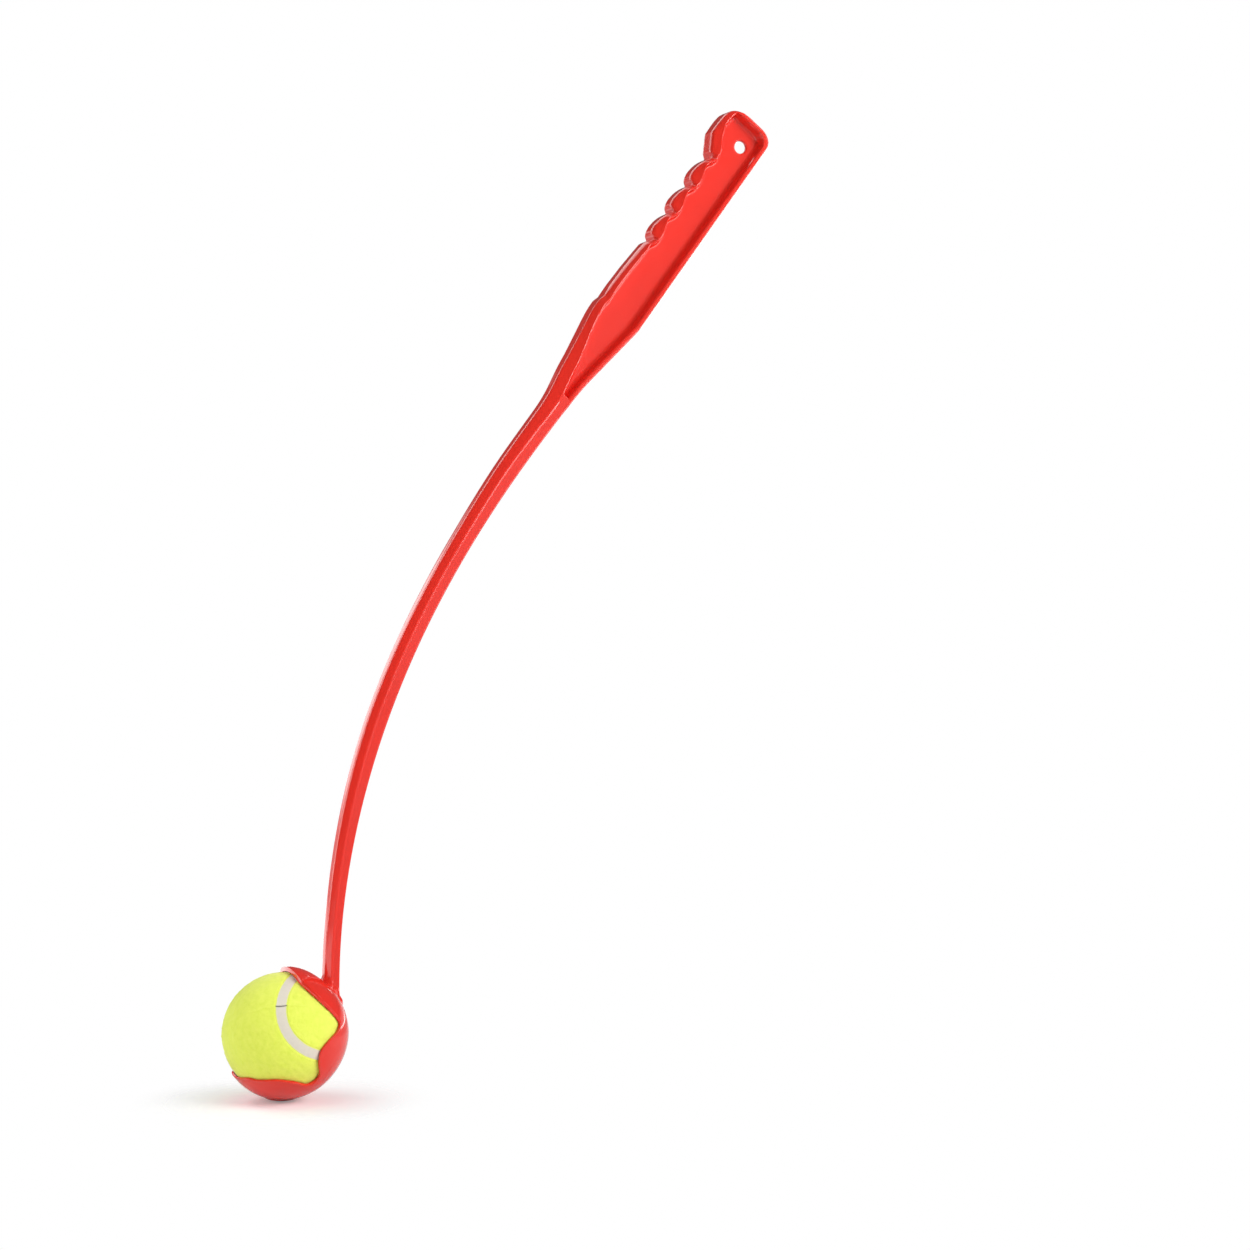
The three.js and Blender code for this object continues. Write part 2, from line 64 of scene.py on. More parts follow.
# ---------------------------------------------------------------- camera
camera_data = bpy.data.cameras.new("camera")
camera_data.lens = 73.35
camera_data.sensor_width = 36.0
camera_data.clip_start = 0.05
camera_data.clip_end = 50.0
camera = bpy.data.objects.new("camera", camera_data)
scene.collection.objects.link(camera)
CAMERA_AZIMUTH = math.radians(-26.0)
camera.location = (-0.6732, -1.2927, -0.2347)
camera.rotation_euler = (math.radians(90.0), 0.0, CAMERA_AZIMUTH)
scene.camera = camera

# ---------------------------------------------------------------- named sizes
# all as in the solids, but for a flare 0.2 mm smaller
BALL_RADIUS = 32.5
BALL_CLEARANCE = 0.4
FELT_THICKNESS = 2.2
SEAM_WIDTH = 5.6
PIECE_GAP = 0.3
SEAM_WAVE = 0.147
CUP_WALL = 1.6
UPPER_TIP_FLARE = 1.1
LOWER_TIP_THINNING = 0.6
BACK_THINNING = 0.4
KEEL_HEIGHT = 0.7
HANDLE_LENGTH = 142.4
HANDLE_DEPTH = 28.0
HANDLE_THICKNESS = 15.0
BACK_RIM = 3.2
END_RIM = 2.9
FINGER_LIP = 1.0
WEB = 2.4
POCKET_CORNER = 7.0
POCKET_TIP = 60.0
BACK_EDGE_RADIUS = 1.1
FINGER_PITCH = 20.5
FINGER_COUNT = 3
NOTCH_DEPTH = 4.5
LOBE_RISE = 4.4
FLANGE_LENGTH = 47.1
HOLE_DIAMETER = 7.2
HOLE_FROM_END = 15.1
HOLE_FROM_BACK = 12.0
GRIP_FROM_CORNER = 76.0
GRIP_FROM_BACK = 12.0
SHAFT_LENGTH = 434.1
SHAFT_DEPTH = 10.5
SHAFT_THICKNESS = 11.0
FOOT_INSET = 3.7
HANDLE_HEADING = 53.0
NECK_HEADING = 44.33
SHAFT_TOP_HEADING = 50.44
SHAFT_FOOT_HEADING = 93.28
CORNER_SHARES = (0.012, 0.0963, 0.1333)
BEND_POWER = 1.4155

FINGERS_END = FLANGE_LENGTH + FINGER_PITCH * FINGER_COUNT
LOBE_LENGTH = HANDLE_LENGTH - FINGERS_END
POCKET_TOP = HANDLE_LENGTH - END_RIM
CUP_INNER = BALL_RADIUS + BALL_CLEARANCE
CUP_OUTER = CUP_INNER + CUP_WALL


def table(rows, place):
    xs, ys = zip(*rows)
    return np.interp(place, xs, ys)


def smoothstep(x, low, high):
    t = np.clip((x - low) / (high - low), 0.0, 1.0)
    return t * t * (3.0 - 2.0 * t)


def mix(a, b, t):
    return a + (b - a) * t


def rounded_edge(distance, radius):
    """How far a quarter-round edge falls away, by distance in from it."""
    left = np.clip(radius - distance, 0, radius)
    return radius - np.sqrt(np.maximum(radius**2 - left**2, 0))


# ---------------------------------------------------------------- back edge
def heading_at(station):
    share = -np.asarray(station, float) / SHAFT_LENGTH
    corner, neck, shaft = CORNER_SHARES
    along = np.clip((share - shaft) / (1.0 - shaft), 0.0, 1.0)
    bend = mix(SHAFT_TOP_HEADING, SHAFT_FOOT_HEADING, along**BEND_POWER)
    upper = table(
        [
            (-corner, HANDLE_HEADING),
            (corner, NECK_HEADING),
            (neck, NECK_HEADING),
            (shaft, SHAFT_TOP_HEADING),
        ],
        share,
    )
    return np.radians(np.where(share > shaft, bend, upper))


HANDLE_ANGLE = math.radians(HANDLE_HEADING)
handle_along = np.array([math.cos(HANDLE_ANGLE), math.sin(HANDLE_ANGLE)])
handle_across = np.array([-handle_along[1], handle_along[0]])
corner_point = -GRIP_FROM_CORNER * handle_along - GRIP_FROM_BACK * handle_across

WALK_STEPS = 3488
walk_step = SHAFT_LENGTH / WALK_STEPS
walk_headings = heading_at(-(np.arange(WALK_STEPS) + 0.5) * walk_step)
walk_moves = -walk_step * np.stack([np.cos(walk_headings), np.sin(walk_headings)], 1)
walk = corner_point + np.concatenate([np.zeros((1, 2)), np.cumsum(walk_moves, 0)])
walk_stations = np.arange(WALK_STEPS + 1) * walk_step


def back_edge_at(station):
    station = np.asarray(station, float)
    down = np.stack([np.interp(-station, walk_stations, walk[:, k]) for k in (0, 1)], -1)
    up = corner_point + station[..., None] * handle_along
    return np.where(station[..., None] >= 0, up, down)


foot_angle = float(heading_at(np.array(-SHAFT_LENGTH)))
foot_across = np.array([-math.sin(foot_angle), math.cos(foot_angle)])
cup_centre_xz = back_edge_at(np.array(-SHAFT_LENGTH)) + foot_across * (CUP_OUTER - FOOT_INSET)
CUP_CENTRE = np.array([cup_centre_xz[0], 0.0, cup_centre_xz[1]])

# ---------------------------------------------------------------- outline tables
FLANGE = [(0, 1.005), (0.2, 1.02), (0.5, 1.005), (0.78, 0.972), (0.89, 0.953)]
LOBE = [
    (0, 0), (0.053, 0.35), (0.1, 0.46), (0.183, 0.64), (0.263, 0.82), (0.337, 0.98), (0.367, 1),
    (0.562, 1), (0.66, 0.985), (0.763, 0.94), (0.861, 0.78), (0.917, 0.59), (0.959, 0.35),
    (0.984, 0.05), (0.994, -0.3), (1, -0.77),
]
NECK_DEPTH = [
    (0, 1), (0.015, 1.045), (0.028, 0.99), (0.043, 0.889), (0.06, 0.754), (0.096, 0.485),
    (0.115, 0.36), (0.133, 0.235), (0.15, 0.16), (0.165, 0.12), (0.2, 0.1), (0.26, 0.085),
    (0.36, 0.015), (0.45, 0),
]
SHAFT_DEPTHS = [(0.62, 1), (0.69, 0.95), (0.78, 0.85), (0.86, 0.77), (1, 0.77)]
END_ROUND = [
    (0.935, 0), (0.958, 0.012), (0.975, 0.05), (0.985, 0.11), (0.992, 0.18), (0.997, 0.26),
    (1, 0.36),
]
NECK_THICKNESS = [(0, 1), (0.14, 0.5), (0.25, 0.25), (0.37, 0.1), (0.5, 0)]
SHAFT_THICKNESSES = [(0.5, 1), (0.69, 0.95), (0.86, 0.82), (1, 0.82)]
SHAFT_SLOPES = [
    (0, 0.37), (0.053, 0.53), (0.096, 0.87), (0.145, 1.0), (0.2, 0.84), (0.28, 0.75),
    (0.46, 0.68), (1, 0.67),
]
FLANGE_SLOPES = [(0, 0.37), (0.78, 0.36)]
NOTCH_SLOPE = 0.2
FINGER_SLOPES = [
    (0, NOTCH_SLOPE), (0.04, 0.57), (0.11, 0.73), (0.27, 0.78), (0.41, 0.62), (0.53, 0.48),
    (0.6, 0.37), (0.68, 0.3), (0.8, 0.23), (0.95, 0.24), (1, NOTCH_SLOPE),
]
LOBE_SLOPES = [
    (0, NOTCH_SLOPE), (0.03, 0.5), (0.098, 0.72), (0.225, 0.87), (0.337, 0.81), (0.512, 0.5),
    (0.589, 0.38), (0.743, 0.38), (0.861, 0.27), (1, 0.2),
]
CRESTS = [
    (0, 0), (0.015, 0.35), (0.04, 0.6), (0.085, 0.78), (0.16, 0.91), (0.27, 0.99), (0.34, 1),
    (0.52, 0.9), (0.65, 0.75), (0.765, 0.56), (0.87, 0.33), (0.95, 0.12), (1, 0),
]


def raw_outline(station):
    """Depth of the finger edge, slope depth and half thickness, before their corners are eased."""
    share = -station / SHAFT_LENGTH
    notch = HANDLE_DEPTH - NOTCH_DEPTH
    finger_place = np.mod((station - FLANGE_LENGTH) / FINGER_PITCH, 1.0)
    shaft_thickness = SHAFT_THICKNESS * table(SHAFT_THICKNESSES, share)
    below_handle = mix(shaft_thickness, HANDLE_THICKNESS, table(NECK_THICKNESS, share))
    half = np.where(station >= 0, HANDLE_THICKNESS, below_handle) / 2
    flange_place = station / FLANGE_LENGTH
    lobe_place = (station - FINGERS_END) / LOBE_LENGTH
    zones = [station < 0, station < FLANGE_LENGTH, station < FINGERS_END]
    depth = np.select(
        zones,
        [
            mix(SHAFT_DEPTH * table(SHAFT_DEPTHS, share), HANDLE_DEPTH, table(NECK_DEPTH, share)),
            HANDLE_DEPTH * table([*FLANGE, (1, notch / HANDLE_DEPTH)], flange_place),
            notch + NOTCH_DEPTH * table(CRESTS, finger_place),
        ],
        mix(notch, HANDLE_DEPTH + LOBE_RISE, table(LOBE, lobe_place)),
    )
    slope = half * np.select(
        zones,
        [
            table(SHAFT_SLOPES, share),
            table([*FLANGE_SLOPES, (1, NOTCH_SLOPE)], flange_place),
            table(FINGER_SLOPES, finger_place),
        ],
        table(LOBE_SLOPES, lobe_place),
    )
    return depth, slope, half


def eased(values, spacing, width):
    """A running bell-weighted mean, which rounds the corners that a table of straight runs has."""
    reach = int(math.ceil(3 * width / spacing))
    weights = np.exp(-0.5 * (np.arange(-reach, reach + 1) * spacing / width) ** 2)
    padded = np.pad(values, reach, mode="reflect", reflect_type="odd")
    return np.convolve(padded, weights / weights.sum(), mode="valid")


FINE_STEP = 0.1
HANDLE_EASING = 0.45
SHAFT_EASING = 3.0
EASING_CHANGE = 12.0
TURN_EASING = 4.5
TURN_FADE = (26.0, 14.0)

fine_stations = np.arange(-SHAFT_LENGTH, HANDLE_LENGTH + FINE_STEP / 2, FINE_STEP)
stepped = np.where(fine_stations >= 0, HANDLE_ANGLE, heading_at(fine_stations))
turning = smoothstep(np.abs(fine_stations), *TURN_FADE)
fine_angles = mix(stepped, eased(stepped, FINE_STEP, TURN_EASING), turning)


def across_at(station):
    """The direction across the wand, which turns gently at the corner, so no two sections cross."""
    angle = np.interp(station, fine_stations, fine_angles)
    return np.stack([-np.sin(angle), np.cos(angle)], -1)


sharp = raw_outline(fine_stations)
soft_handle = [eased(v, FINE_STEP, HANDLE_EASING) for v in sharp]
soft_shaft = [eased(v, FINE_STEP, SHAFT_EASING) for v in sharp]
to_handle = smoothstep(fine_stations, -EASING_CHANGE, 0.0)
eased_outline = [mix(b, a, to_handle) for a, b in zip(soft_handle, soft_shaft)]


def outline_at(station):
    depth, slope, half = (np.interp(station, fine_stations, v) for v in eased_outline)
    inset = HANDLE_DEPTH * table(END_ROUND, station / HANDLE_LENGTH)
    return depth, slope, half, inset


def place(station, depth, side):
    """Points of the wand from station, depth and offset across it; all are arrays of one shape."""
    base = back_edge_at(station)
    across = across_at(station)
    flat = base + across * depth[..., None]
    return np.stack([flat[..., 0], side, flat[..., 1]], -1)


# ---------------------------------------------------------------- wand sections
def fillet(corner, before, after, radius, count):
    """Points on an arc of a radius that rounds a corner between two unit directions.

    corner, before and after are arrays of (depth, side) pairs, one row for each station.
    """
    turn = np.arccos(np.clip((before * after).sum(-1), -1, 1))
    radius = np.broadcast_to(radius, turn.shape)
    reach = radius * np.tan(turn / 2)
    start = corner - before * reach[:, None]
    out = []
    normal = after - before * (before * after).sum(-1, keepdims=True)
    normal = normal / np.maximum(np.linalg.norm(normal, axis=-1, keepdims=True), 1e-9)
    for k in range(count):
        angle = turn * k / (count - 1)
        out.append(
            start
            + before * (radius * np.sin(angle))[:, None]
            + normal * (radius * (1 - np.cos(angle)))[:, None]
        )
    return out


def wall_profile(e):
    """Height of a recess wall as a share of the recess depth, by distance in from its outline."""
    xs = [-0.85, -0.65, -0.45, -0.25, -0.07, 0.1, 0.3, 0.55, 0.8, 1.05, 1.35, 1.7, 2.1, 2.6, 3.2]
    ys = [1, 0.995, 0.979, 0.949, 0.9, 0.83, 0.69, 0.5, 0.335, 0.21, 0.115, 0.055, 0.02, 0.005, 0]
    return np.interp(e, xs, ys)


WALL_STOPS = np.array(
    [
        -0.85, -0.65, -0.45, -0.25, -0.07, 0.1, 0.2, 0.3, 0.42, 0.55, 0.8, 1.05, 1.35, 1.7, 2.1,
        2.6, 3.2,
    ]
)
FLOOR_STOPS = np.linspace(0, 1, 9)[1:-1]
EDGE_FILLETS = [
    (-SHAFT_LENGTH, 1.2), (-90, 1.0), (-14, 0.8), (-2, 1.0), (8, 5.5), (FLANGE_LENGTH - 4, 8.0),
    (FLANGE_LENGTH, 2.0), (FLANGE_LENGTH + 3, 3.2), (HANDLE_LENGTH - 6, 3.0), (HANDLE_LENGTH, 2.0),
]
LIP_FILLETS = [(-SHAFT_LENGTH, 1.6), (-90, 1.5), (-50, 0.8), (-10, 0.4), (HANDLE_LENGTH, 0.4)]
BAND_SHARES = [
    (-SHAFT_LENGTH, 0.59), (-40, 0.6), (0, 0.62), (FINGERS_END - 2, 0.62), (FINGERS_END + 6, 0.72),
]
SHAFT_STEP = 0.35
# where the points of a half section lie, as shares, and how many round each of its corners
BAND_STOPS = (0.0, 0.2, 0.45)
SLOPE_STOPS = (0.33, 0.67)
BACK_STOPS = (0.66, 0.33, 0.0)
EDGE_POINTS = 11
LIP_POINTS = 8
BACK_POINTS = 6
# how much of the band and of the slope an edge's rounding may take up
BAND_ROOM = 0.8
SLOPE_ROOM = 0.75
SHAFT_ROUNDING = 0.3
ROUNDING_SHARES = (0.05, 0.2)
END_EDGE_RADIUS = 1.3
# least sizes of the recess where it closes
MIN_LEAN = 0.6
MIN_WIDTH = 2.0
MIN_FLOOR = 0.3
MIN_CORNER = 0.4
MOST_OF_CORNER = 0.999
WALL_ROOM = 2.6
LINE_GAP = 0.02
RECESS_MARGIN = 0.6
# the side face outside the recess
SIDE_GAP = 0.004
LIP_MARGIN = 0.15
BACK_MARGIN = 0.25
SPREAD_START = 0.5
SPREAD_RUN = 14.0
SPREAD_POWER = 1.4
STEP_START = 0.6
STEP_RUN = 9.0
STEP_WIDTH = 0.9


def pairs(depth, side, like):
    """Rows of (depth, side), one for each row of like."""
    return np.stack(np.broadcast_arrays(depth, side, like)[:2], -1)


def front_half(station, depth, slope, half):
    """The finger side from its middle: a flat band, a rounded edge, a slope and the lip."""
    band = half * table(BAND_SHARES, station)
    sideways, backwards = pairs(0.0, 1.0, station), pairs(-1.0, 0.0, station)
    down_slope = pairs(-slope, half - band, station)
    down_slope = down_slope / np.linalg.norm(down_slope, axis=-1, keepdims=True)
    edge_turn = np.arccos(np.clip(down_slope[:, 1], -1, 1))
    room = np.minimum(band * BAND_ROOM, np.hypot(slope, half - band) * SLOPE_ROOM)
    edge_radius = np.minimum(table(EDGE_FILLETS, station), room / np.tan(edge_turn / 2))
    points = [pairs(depth, band * share, station) for share in BAND_STOPS]
    points += fillet(pairs(depth, band, station), sideways, down_slope, edge_radius, EDGE_POINTS)
    stop = pairs(depth - slope, half, station)
    lip = fillet(stop, down_slope, backwards, table(LIP_FILLETS, station), LIP_POINTS)
    points += [mix(points[-1], lip[0], share) for share in SLOPE_STOPS]
    front = np.stack(points + lip, 1)
    # the shaft's front is rounder
    angles = np.radians(np.linspace(0, 90, front.shape[1]))
    rounded = np.stack(
        [depth[:, None] - slope[:, None] * (1 - np.cos(angles)), half[:, None] * np.sin(angles)], -1
    )
    rounding = SHAFT_ROUNDING * smoothstep(-station / SHAFT_LENGTH, *ROUNDING_SHARES)
    return mix(front, rounded, rounding[:, None, None])


def keep_order(lines, gap):
    """Keeps each line at least a gap below the one before it."""
    for k in range(1, lines.shape[1]):
        lines[:, k] = np.minimum(lines[:, k], lines[:, k - 1] - gap)


def recess_lines(high, lean, corner_run):
    """Depths of the lines that run along the recess: its finger wall, floor and back wall."""
    shrink = np.minimum(1.0, (high - BACK_RIM) / 2 / WALL_ROOM)
    finger_wall = [high - stop * shrink / lean for stop in WALL_STOPS]
    back_wall = []
    for stop in WALL_STOPS[::-1]:
        radius = max(POCKET_CORNER - stop, MIN_CORNER)
        run = np.minimum(corner_run, radius * MOST_OF_CORNER)
        back_wall.append(BACK_RIM + stop * shrink + radius - np.sqrt(radius**2 - run**2))
    last = np.minimum(back_wall[0], finger_wall[-1] - MIN_FLOOR)
    floor_lines = [mix(finger_wall[-1], last, share) for share in FLOOR_STOPS]
    lines = np.stack(finger_wall + floor_lines + back_wall, 1)
    keep_order(lines, LINE_GAP)
    return lines


def inside_recess(station, lines, high, lean, corner_run):
    """How far each point of the lines lies in from the recess's outline."""
    from_finger = (high[:, None] - lines) * lean[:, None]
    from_back = lines - BACK_RIM
    in_corner = (corner_run[:, None] > 0) & (from_back < POCKET_CORNER)
    from_corner = POCKET_CORNER - np.hypot(POCKET_CORNER - from_back, corner_run[:, None])
    from_back = np.where(in_corner, from_corner, from_back)
    from_ends = np.minimum(POCKET_TOP - station, station + POCKET_TIP)[:, None]
    return np.minimum(np.minimum(from_finger, from_back), from_ends)


def side_half(station, depth, slope, half, step, top, bottom):
    """The side face from the lip to the back edge, with the recess where the wand has it."""
    high = depth - slope - FINGER_LIP
    lean = np.maximum(1 / np.sqrt(1 + np.gradient(high, station) ** 2), MIN_LEAN)
    high = np.maximum(high, BACK_RIM + MIN_WIDTH)
    corner_run = np.clip(station - (POCKET_TOP - POCKET_CORNER), 0, POCKET_CORNER)
    lines = recess_lines(high, lean, corner_run)
    rise = wall_profile(inside_recess(station, lines, high, lean, corner_run))
    sides = WEB / 2 + (half - WEB / 2)[:, None] * rise
    recessed = (station > -POCKET_TIP - RECESS_MARGIN) & (station < POCKET_TOP + RECESS_MARGIN)
    sides = np.where(recessed[:, None], sides, half[:, None])
    # outside the recess its lines spread over the side face, densest near its lip
    shares = np.linspace(0, 1, lines.shape[1]) ** SPREAD_POWER
    spread = top[:, None] + (bottom - top)[:, None] * shares
    outside = np.maximum(
        smoothstep(-station, POCKET_TIP + SPREAD_START, POCKET_TIP + SPREAD_RUN),
        smoothstep(station, POCKET_TOP + SPREAD_START, HANDLE_LENGTH - SPREAD_START),
    )
    lines = np.clip(mix(lines, spread, outside[:, None]), bottom[:, None], top[:, None])
    keep_order(lines, SIDE_GAP)
    # along the shaft a low step takes the lip's place
    sides = sides - step[:, None] * smoothstep(top[:, None] - lines, 0.0, STEP_WIDTH)
    return np.stack([lines, sides], -1)


def back_half(station, inset, half, edge):
    """The back edge: its rounding, then across to the middle."""
    corner = pairs(inset, half, station)
    arc = fillet(corner, pairs(-1.0, 0.0, station), pairs(0.0, -1.0, station), 1.0, BACK_POINTS)
    points = [corner + (point - corner) * edge[:, None] for point in arc]
    points += [pairs(inset, (half - edge) * share, station) for share in BACK_STOPS]
    return np.stack(points, 1)


def half_sections(station):
    """Half cross-sections for each station: from the middle of the finger side to the back edge."""
    depth, slope, half, inset = outline_at(station)
    edge = np.minimum(BACK_EDGE_RADIUS, half / 4)
    half = half - rounded_edge(HANDLE_LENGTH - station, END_EDGE_RADIUS)
    front = front_half(station, depth, slope, half)
    top = front[:, -1, 0] - LIP_MARGIN
    bottom = inset + edge + BACK_MARGIN
    step = SHAFT_STEP * smoothstep(-station, POCKET_TIP + STEP_START, POCKET_TIP + STEP_RUN)
    side = side_half(station, depth, slope, half, step, top, bottom)
    return np.concatenate([front, side, back_half(station, inset, half - step, edge)], 1)


SHAFT_FOOT = -0.972 * SHAFT_LENGTH
# where each run of cross-sections starts and ends, and its spacing
STATION_RUNS = [
    (SHAFT_FOOT, -90, 2.6), (-90, -62, 1.5), (-61, -56, 0.3), (-56, -8, 1.2),
    (-8, FLANGE_LENGTH - 2, 0.9), (FLANGE_LENGTH - 2, FINGERS_END + 3, 0.5),
    (FINGERS_END + 3, POCKET_TOP - 5, 0.7), (POCKET_TOP - 5, POCKET_TOP + 1, 0.22),
    (POCKET_TOP + 1, HANDLE_LENGTH - 2, 0.5), (HANDLE_LENGTH - 2, HANDLE_LENGTH, 0.16),
]


def stations_between(low, high, step):
    return np.linspace(low, high, max(2, int(round((high - low) / step)) + 1))


station_runs = [stations_between(*run) for run in STATION_RUNS]
station_rows = np.unique(np.round(np.concatenate(station_runs), 4))


# ---------------------------------------------------------------- meshes
# in metres: points that are one, points that a join brings together, and edges too short to keep
SAME_POINT = 1e-7
JOIN_WELD = 6e-6
SHORT_EDGE = 2e-6
MIRROR = np.array([1.0, -1.0, 1.0])


def weld(mesh, distance, then):
    """Merges points closer than a distance, then takes one more step with the result."""
    work = bmesh.new()
    work.from_mesh(mesh)
    bmesh.ops.remove_doubles(work, verts=work.verts, dist=distance)
    then(work)
    work.to_mesh(mesh)
    work.free()


def face_outwards(work):
    bmesh.ops.recalc_face_normals(work, faces=work.faces)


def drop_short_edges(work):
    bmesh.ops.dissolve_degenerate(work, edges=work.edges, dist=SHORT_EDGE)


def finish_shading(obj, sharp_angle):
    obj.data.polygons.foreach_set("use_smooth", [True] * len(obj.data.polygons))
    if sharp_angle is not None:
        obj.data.set_sharp_from_angle(angle=math.radians(sharp_angle))
    obj.data.update()


def mesh_object(name, points, faces, sharp_angle=None, layers=None):
    mesh = bpy.data.meshes.new(name)
    mesh.from_pydata((np.asarray(points) * MM).tolist(), [], [list(map(int, f)) for f in faces])
    for layer, values in (layers or {}).items():
        numbers = values.ravel().astype("f")
        mesh.attributes.new(layer, "FLOAT", "POINT").data.foreach_set("value", numbers)
    mesh.validate()
    weld(mesh, SAME_POINT, face_outwards)
    obj = bpy.data.objects.new(name, mesh)
    scene.collection.objects.link(obj)
    finish_shading(obj, sharp_angle)
    return obj


def loft_faces(rings, count):
    faces = []
    for i in range(rings - 1):
        for j in range(count):
            a, b = i * count + j, i * count + (j + 1) % count
            faces.append((a, b, b + count, a + count))
    return faces


def end_strips(rings, count, steps, shift):
    """Closes both ends of a loft by strips between the two sides of its first and last ring."""
    faces = []
    for start in (0, (rings - 1) * count):
        for j in range(steps):
            a, b = start + j, start + j + 1
            c = start + (count - shift - j - 1) % count
            d = start + (count - shift - j) % count
            faces.append((a, b, c, d) if a != d else (a, b, c))
    return faces


def revolve(name, profile, around, centre):
    """A closed solid turned about Y: profile rows are (offset along Y, radius)."""
    turns = [2 * math.pi * k / around for k in range(around)]
    points = [
        (radius * math.cos(turn), offset, radius * math.sin(turn))
        for offset, radius in profile
        for turn in turns
    ]
    faces = loft_faces(len(profile), around)
    faces.append(tuple(range(around))[::-1])
    faces.append(tuple(range((len(profile) - 1) * around, len(profile) * around)))
    return mesh_object(name, np.array(points) + np.array(centre), faces)


def boolean(target, tool, operation):
    modifier = target.modifiers.new("cut", "BOOLEAN")
    modifier.object = tool
    modifier.operation = operation
    modifier.solver = "EXACT"
    depsgraph = bpy.context.evaluated_depsgraph_get()
    made = bpy.data.meshes.new_from_object(target.evaluated_get(depsgraph))
    target.modifiers.clear()
    old = target.data
    target.data = made
    bpy.data.meshes.remove(old)
    bpy.data.objects.remove(tool)


FOOT_FILLET = 2.4
FOOT_FILLET_SHARE = 0.8


def flared_foot(points, section_middle):
    """Flares the foot of the shaft outwards where it nears the cup, as a moulded fillet does."""
    away = np.linalg.norm(points - CUP_CENTRE, axis=-1) - CUP_OUTER
    share = np.clip(1 - away / FOOT_FILLET, 0, 1)
    push = FOOT_FILLET * FOOT_FILLET_SHARE * (1 - np.sqrt(np.maximum(1 - share**2, 0)))
    outward = points - section_middle
    length = np.maximum(np.linalg.norm(outward, axis=-1, keepdims=True), 1e-6)
    return points + outward / length * push[..., None]


def stick_object():
    """Handle and shaft: the half sections and their mirror images, lofted."""
    half = half_sections(station_rows)
    mirrored = half[:, -2:0:-1] * np.array([1.0, -1.0])
    ring = np.concatenate([half, mirrored], 1)
    rings, count = ring.shape[:2]
    stations = np.repeat(station_rows[:, None], count, 1)
    points = place(stations, ring[..., 0], ring[..., 1])
    points = flared_foot(points, points.mean(1, keepdims=True))
    faces = loft_faces(rings, count) + end_strips(rings, count, half.shape[1] - 1, 0)
    return mesh_object("stick", points.reshape(-1, 3), faces)


# ---------------------------------------------------------------- cup
CUT_EDGE = np.array(
    [
        (-0.02, 1.12), (-0.01, 1.03), (0.035, 1.0), (0.065, 0.93), (0.09, 0.83), (0.33, 0.565),
        (0.6, 0.29), (0.65, 0.2), (0.6, 0.12), (0.41, -0.01), (0.285, -0.14), (0.258, -0.27),
        (0.275, -0.4), (0.31, -0.52), (0.285, -0.595), (0.166, -0.665), (-0.08, -0.6),
        (-0.33, -0.56), (-0.58, -0.575), (-0.68, -0.56), (-0.735, -0.59), (-0.79, -0.72),
    ]
) * CUP_OUTER
# angles round the cup in degrees, from +X towards +Z: a middle and a reach, or two limits
LOWER_TIP = (212, 36)
CUP_BACK = (325, 45)
KEEL_ANGLE = 266
KEEL_REACH = 17
KEEL_HALF_WIDTH = 13
KEEL_EASING = (0.45, 0.6)
FLARE_RISE = (46, 80)
FLARE_FALL = (120, 150)
INNER_FLARE_SHARE = 0.1
UPPER_JAW_START = (8.0, 25.0)
UPPER_JAW_END = (170.0, 150.0)
TIP_THINNING_ZONE = (81.0, 87.0)
# the cut's edge, in millimetres or as shares of the wall
OUTER_EDGE = 0.32
INNER_EDGE = 0.2
BEVEL_WIDTH = 1.15
BEVEL_SHARE = 0.62
TIP_THINNING_SHARE = 0.12
MOST_FROM_OUTSIDE = 0.8
MOST_FROM_INSIDE = 0.28
# how the cup's mesh is spaced
SPAN_STEPS = 40
EDGE_SAMPLES = 1400
EDGE_OVERLAP = 0.02
SPINE_EASING = 6.0
SPINE_WEIGHT = 0.7
CUP_ROWS = 190
CUP_STEPS = 24
CUP_NEAR = np.array([0.0, 0.04, 0.11, 0.2, 0.33, 0.55, 0.8, 1.0, 1.12, 1.25, 1.5, 1.9])


def nearness(angle, centre, reach):
    return smoothstep(reach - np.abs(angle - centre), 0, reach)


def angle_round(n):
    return np.mod(np.degrees(np.arctan2(n[..., 2], n[..., 0])), 360)


def flare_at(angle):
    return UPPER_TIP_FLARE * (smoothstep(angle, *FLARE_RISE) - smoothstep(angle, *FLARE_FALL))


def outer_radius(n):
    angle = angle_round(n)
    tilt = np.degrees(np.arcsin(np.clip(np.abs(n[..., 1]), 0, 1)))
    thinning = LOWER_TIP_THINNING * nearness(angle, *LOWER_TIP)
    thinning = thinning + BACK_THINNING * nearness(angle, *CUP_BACK)
    along_keel = smoothstep(KEEL_REACH - np.abs(angle - KEEL_ANGLE), 0, KEEL_REACH * KEEL_EASING[0])
    across_keel = smoothstep(KEEL_HALF_WIDTH - tilt, 0, KEEL_HALF_WIDTH * KEEL_EASING[1])
    return CUP_OUTER + flare_at(angle) - thinning + KEEL_HEIGHT * (along_keel * across_keel)


def inner_radius(n):
    return CUP_INNER + INNER_FLARE_SHARE * flare_at(angle_round(n))


def between(one, other, low, high, t):
    return (high - t) / (high - low) * one + (t - low) / (high - low) * other


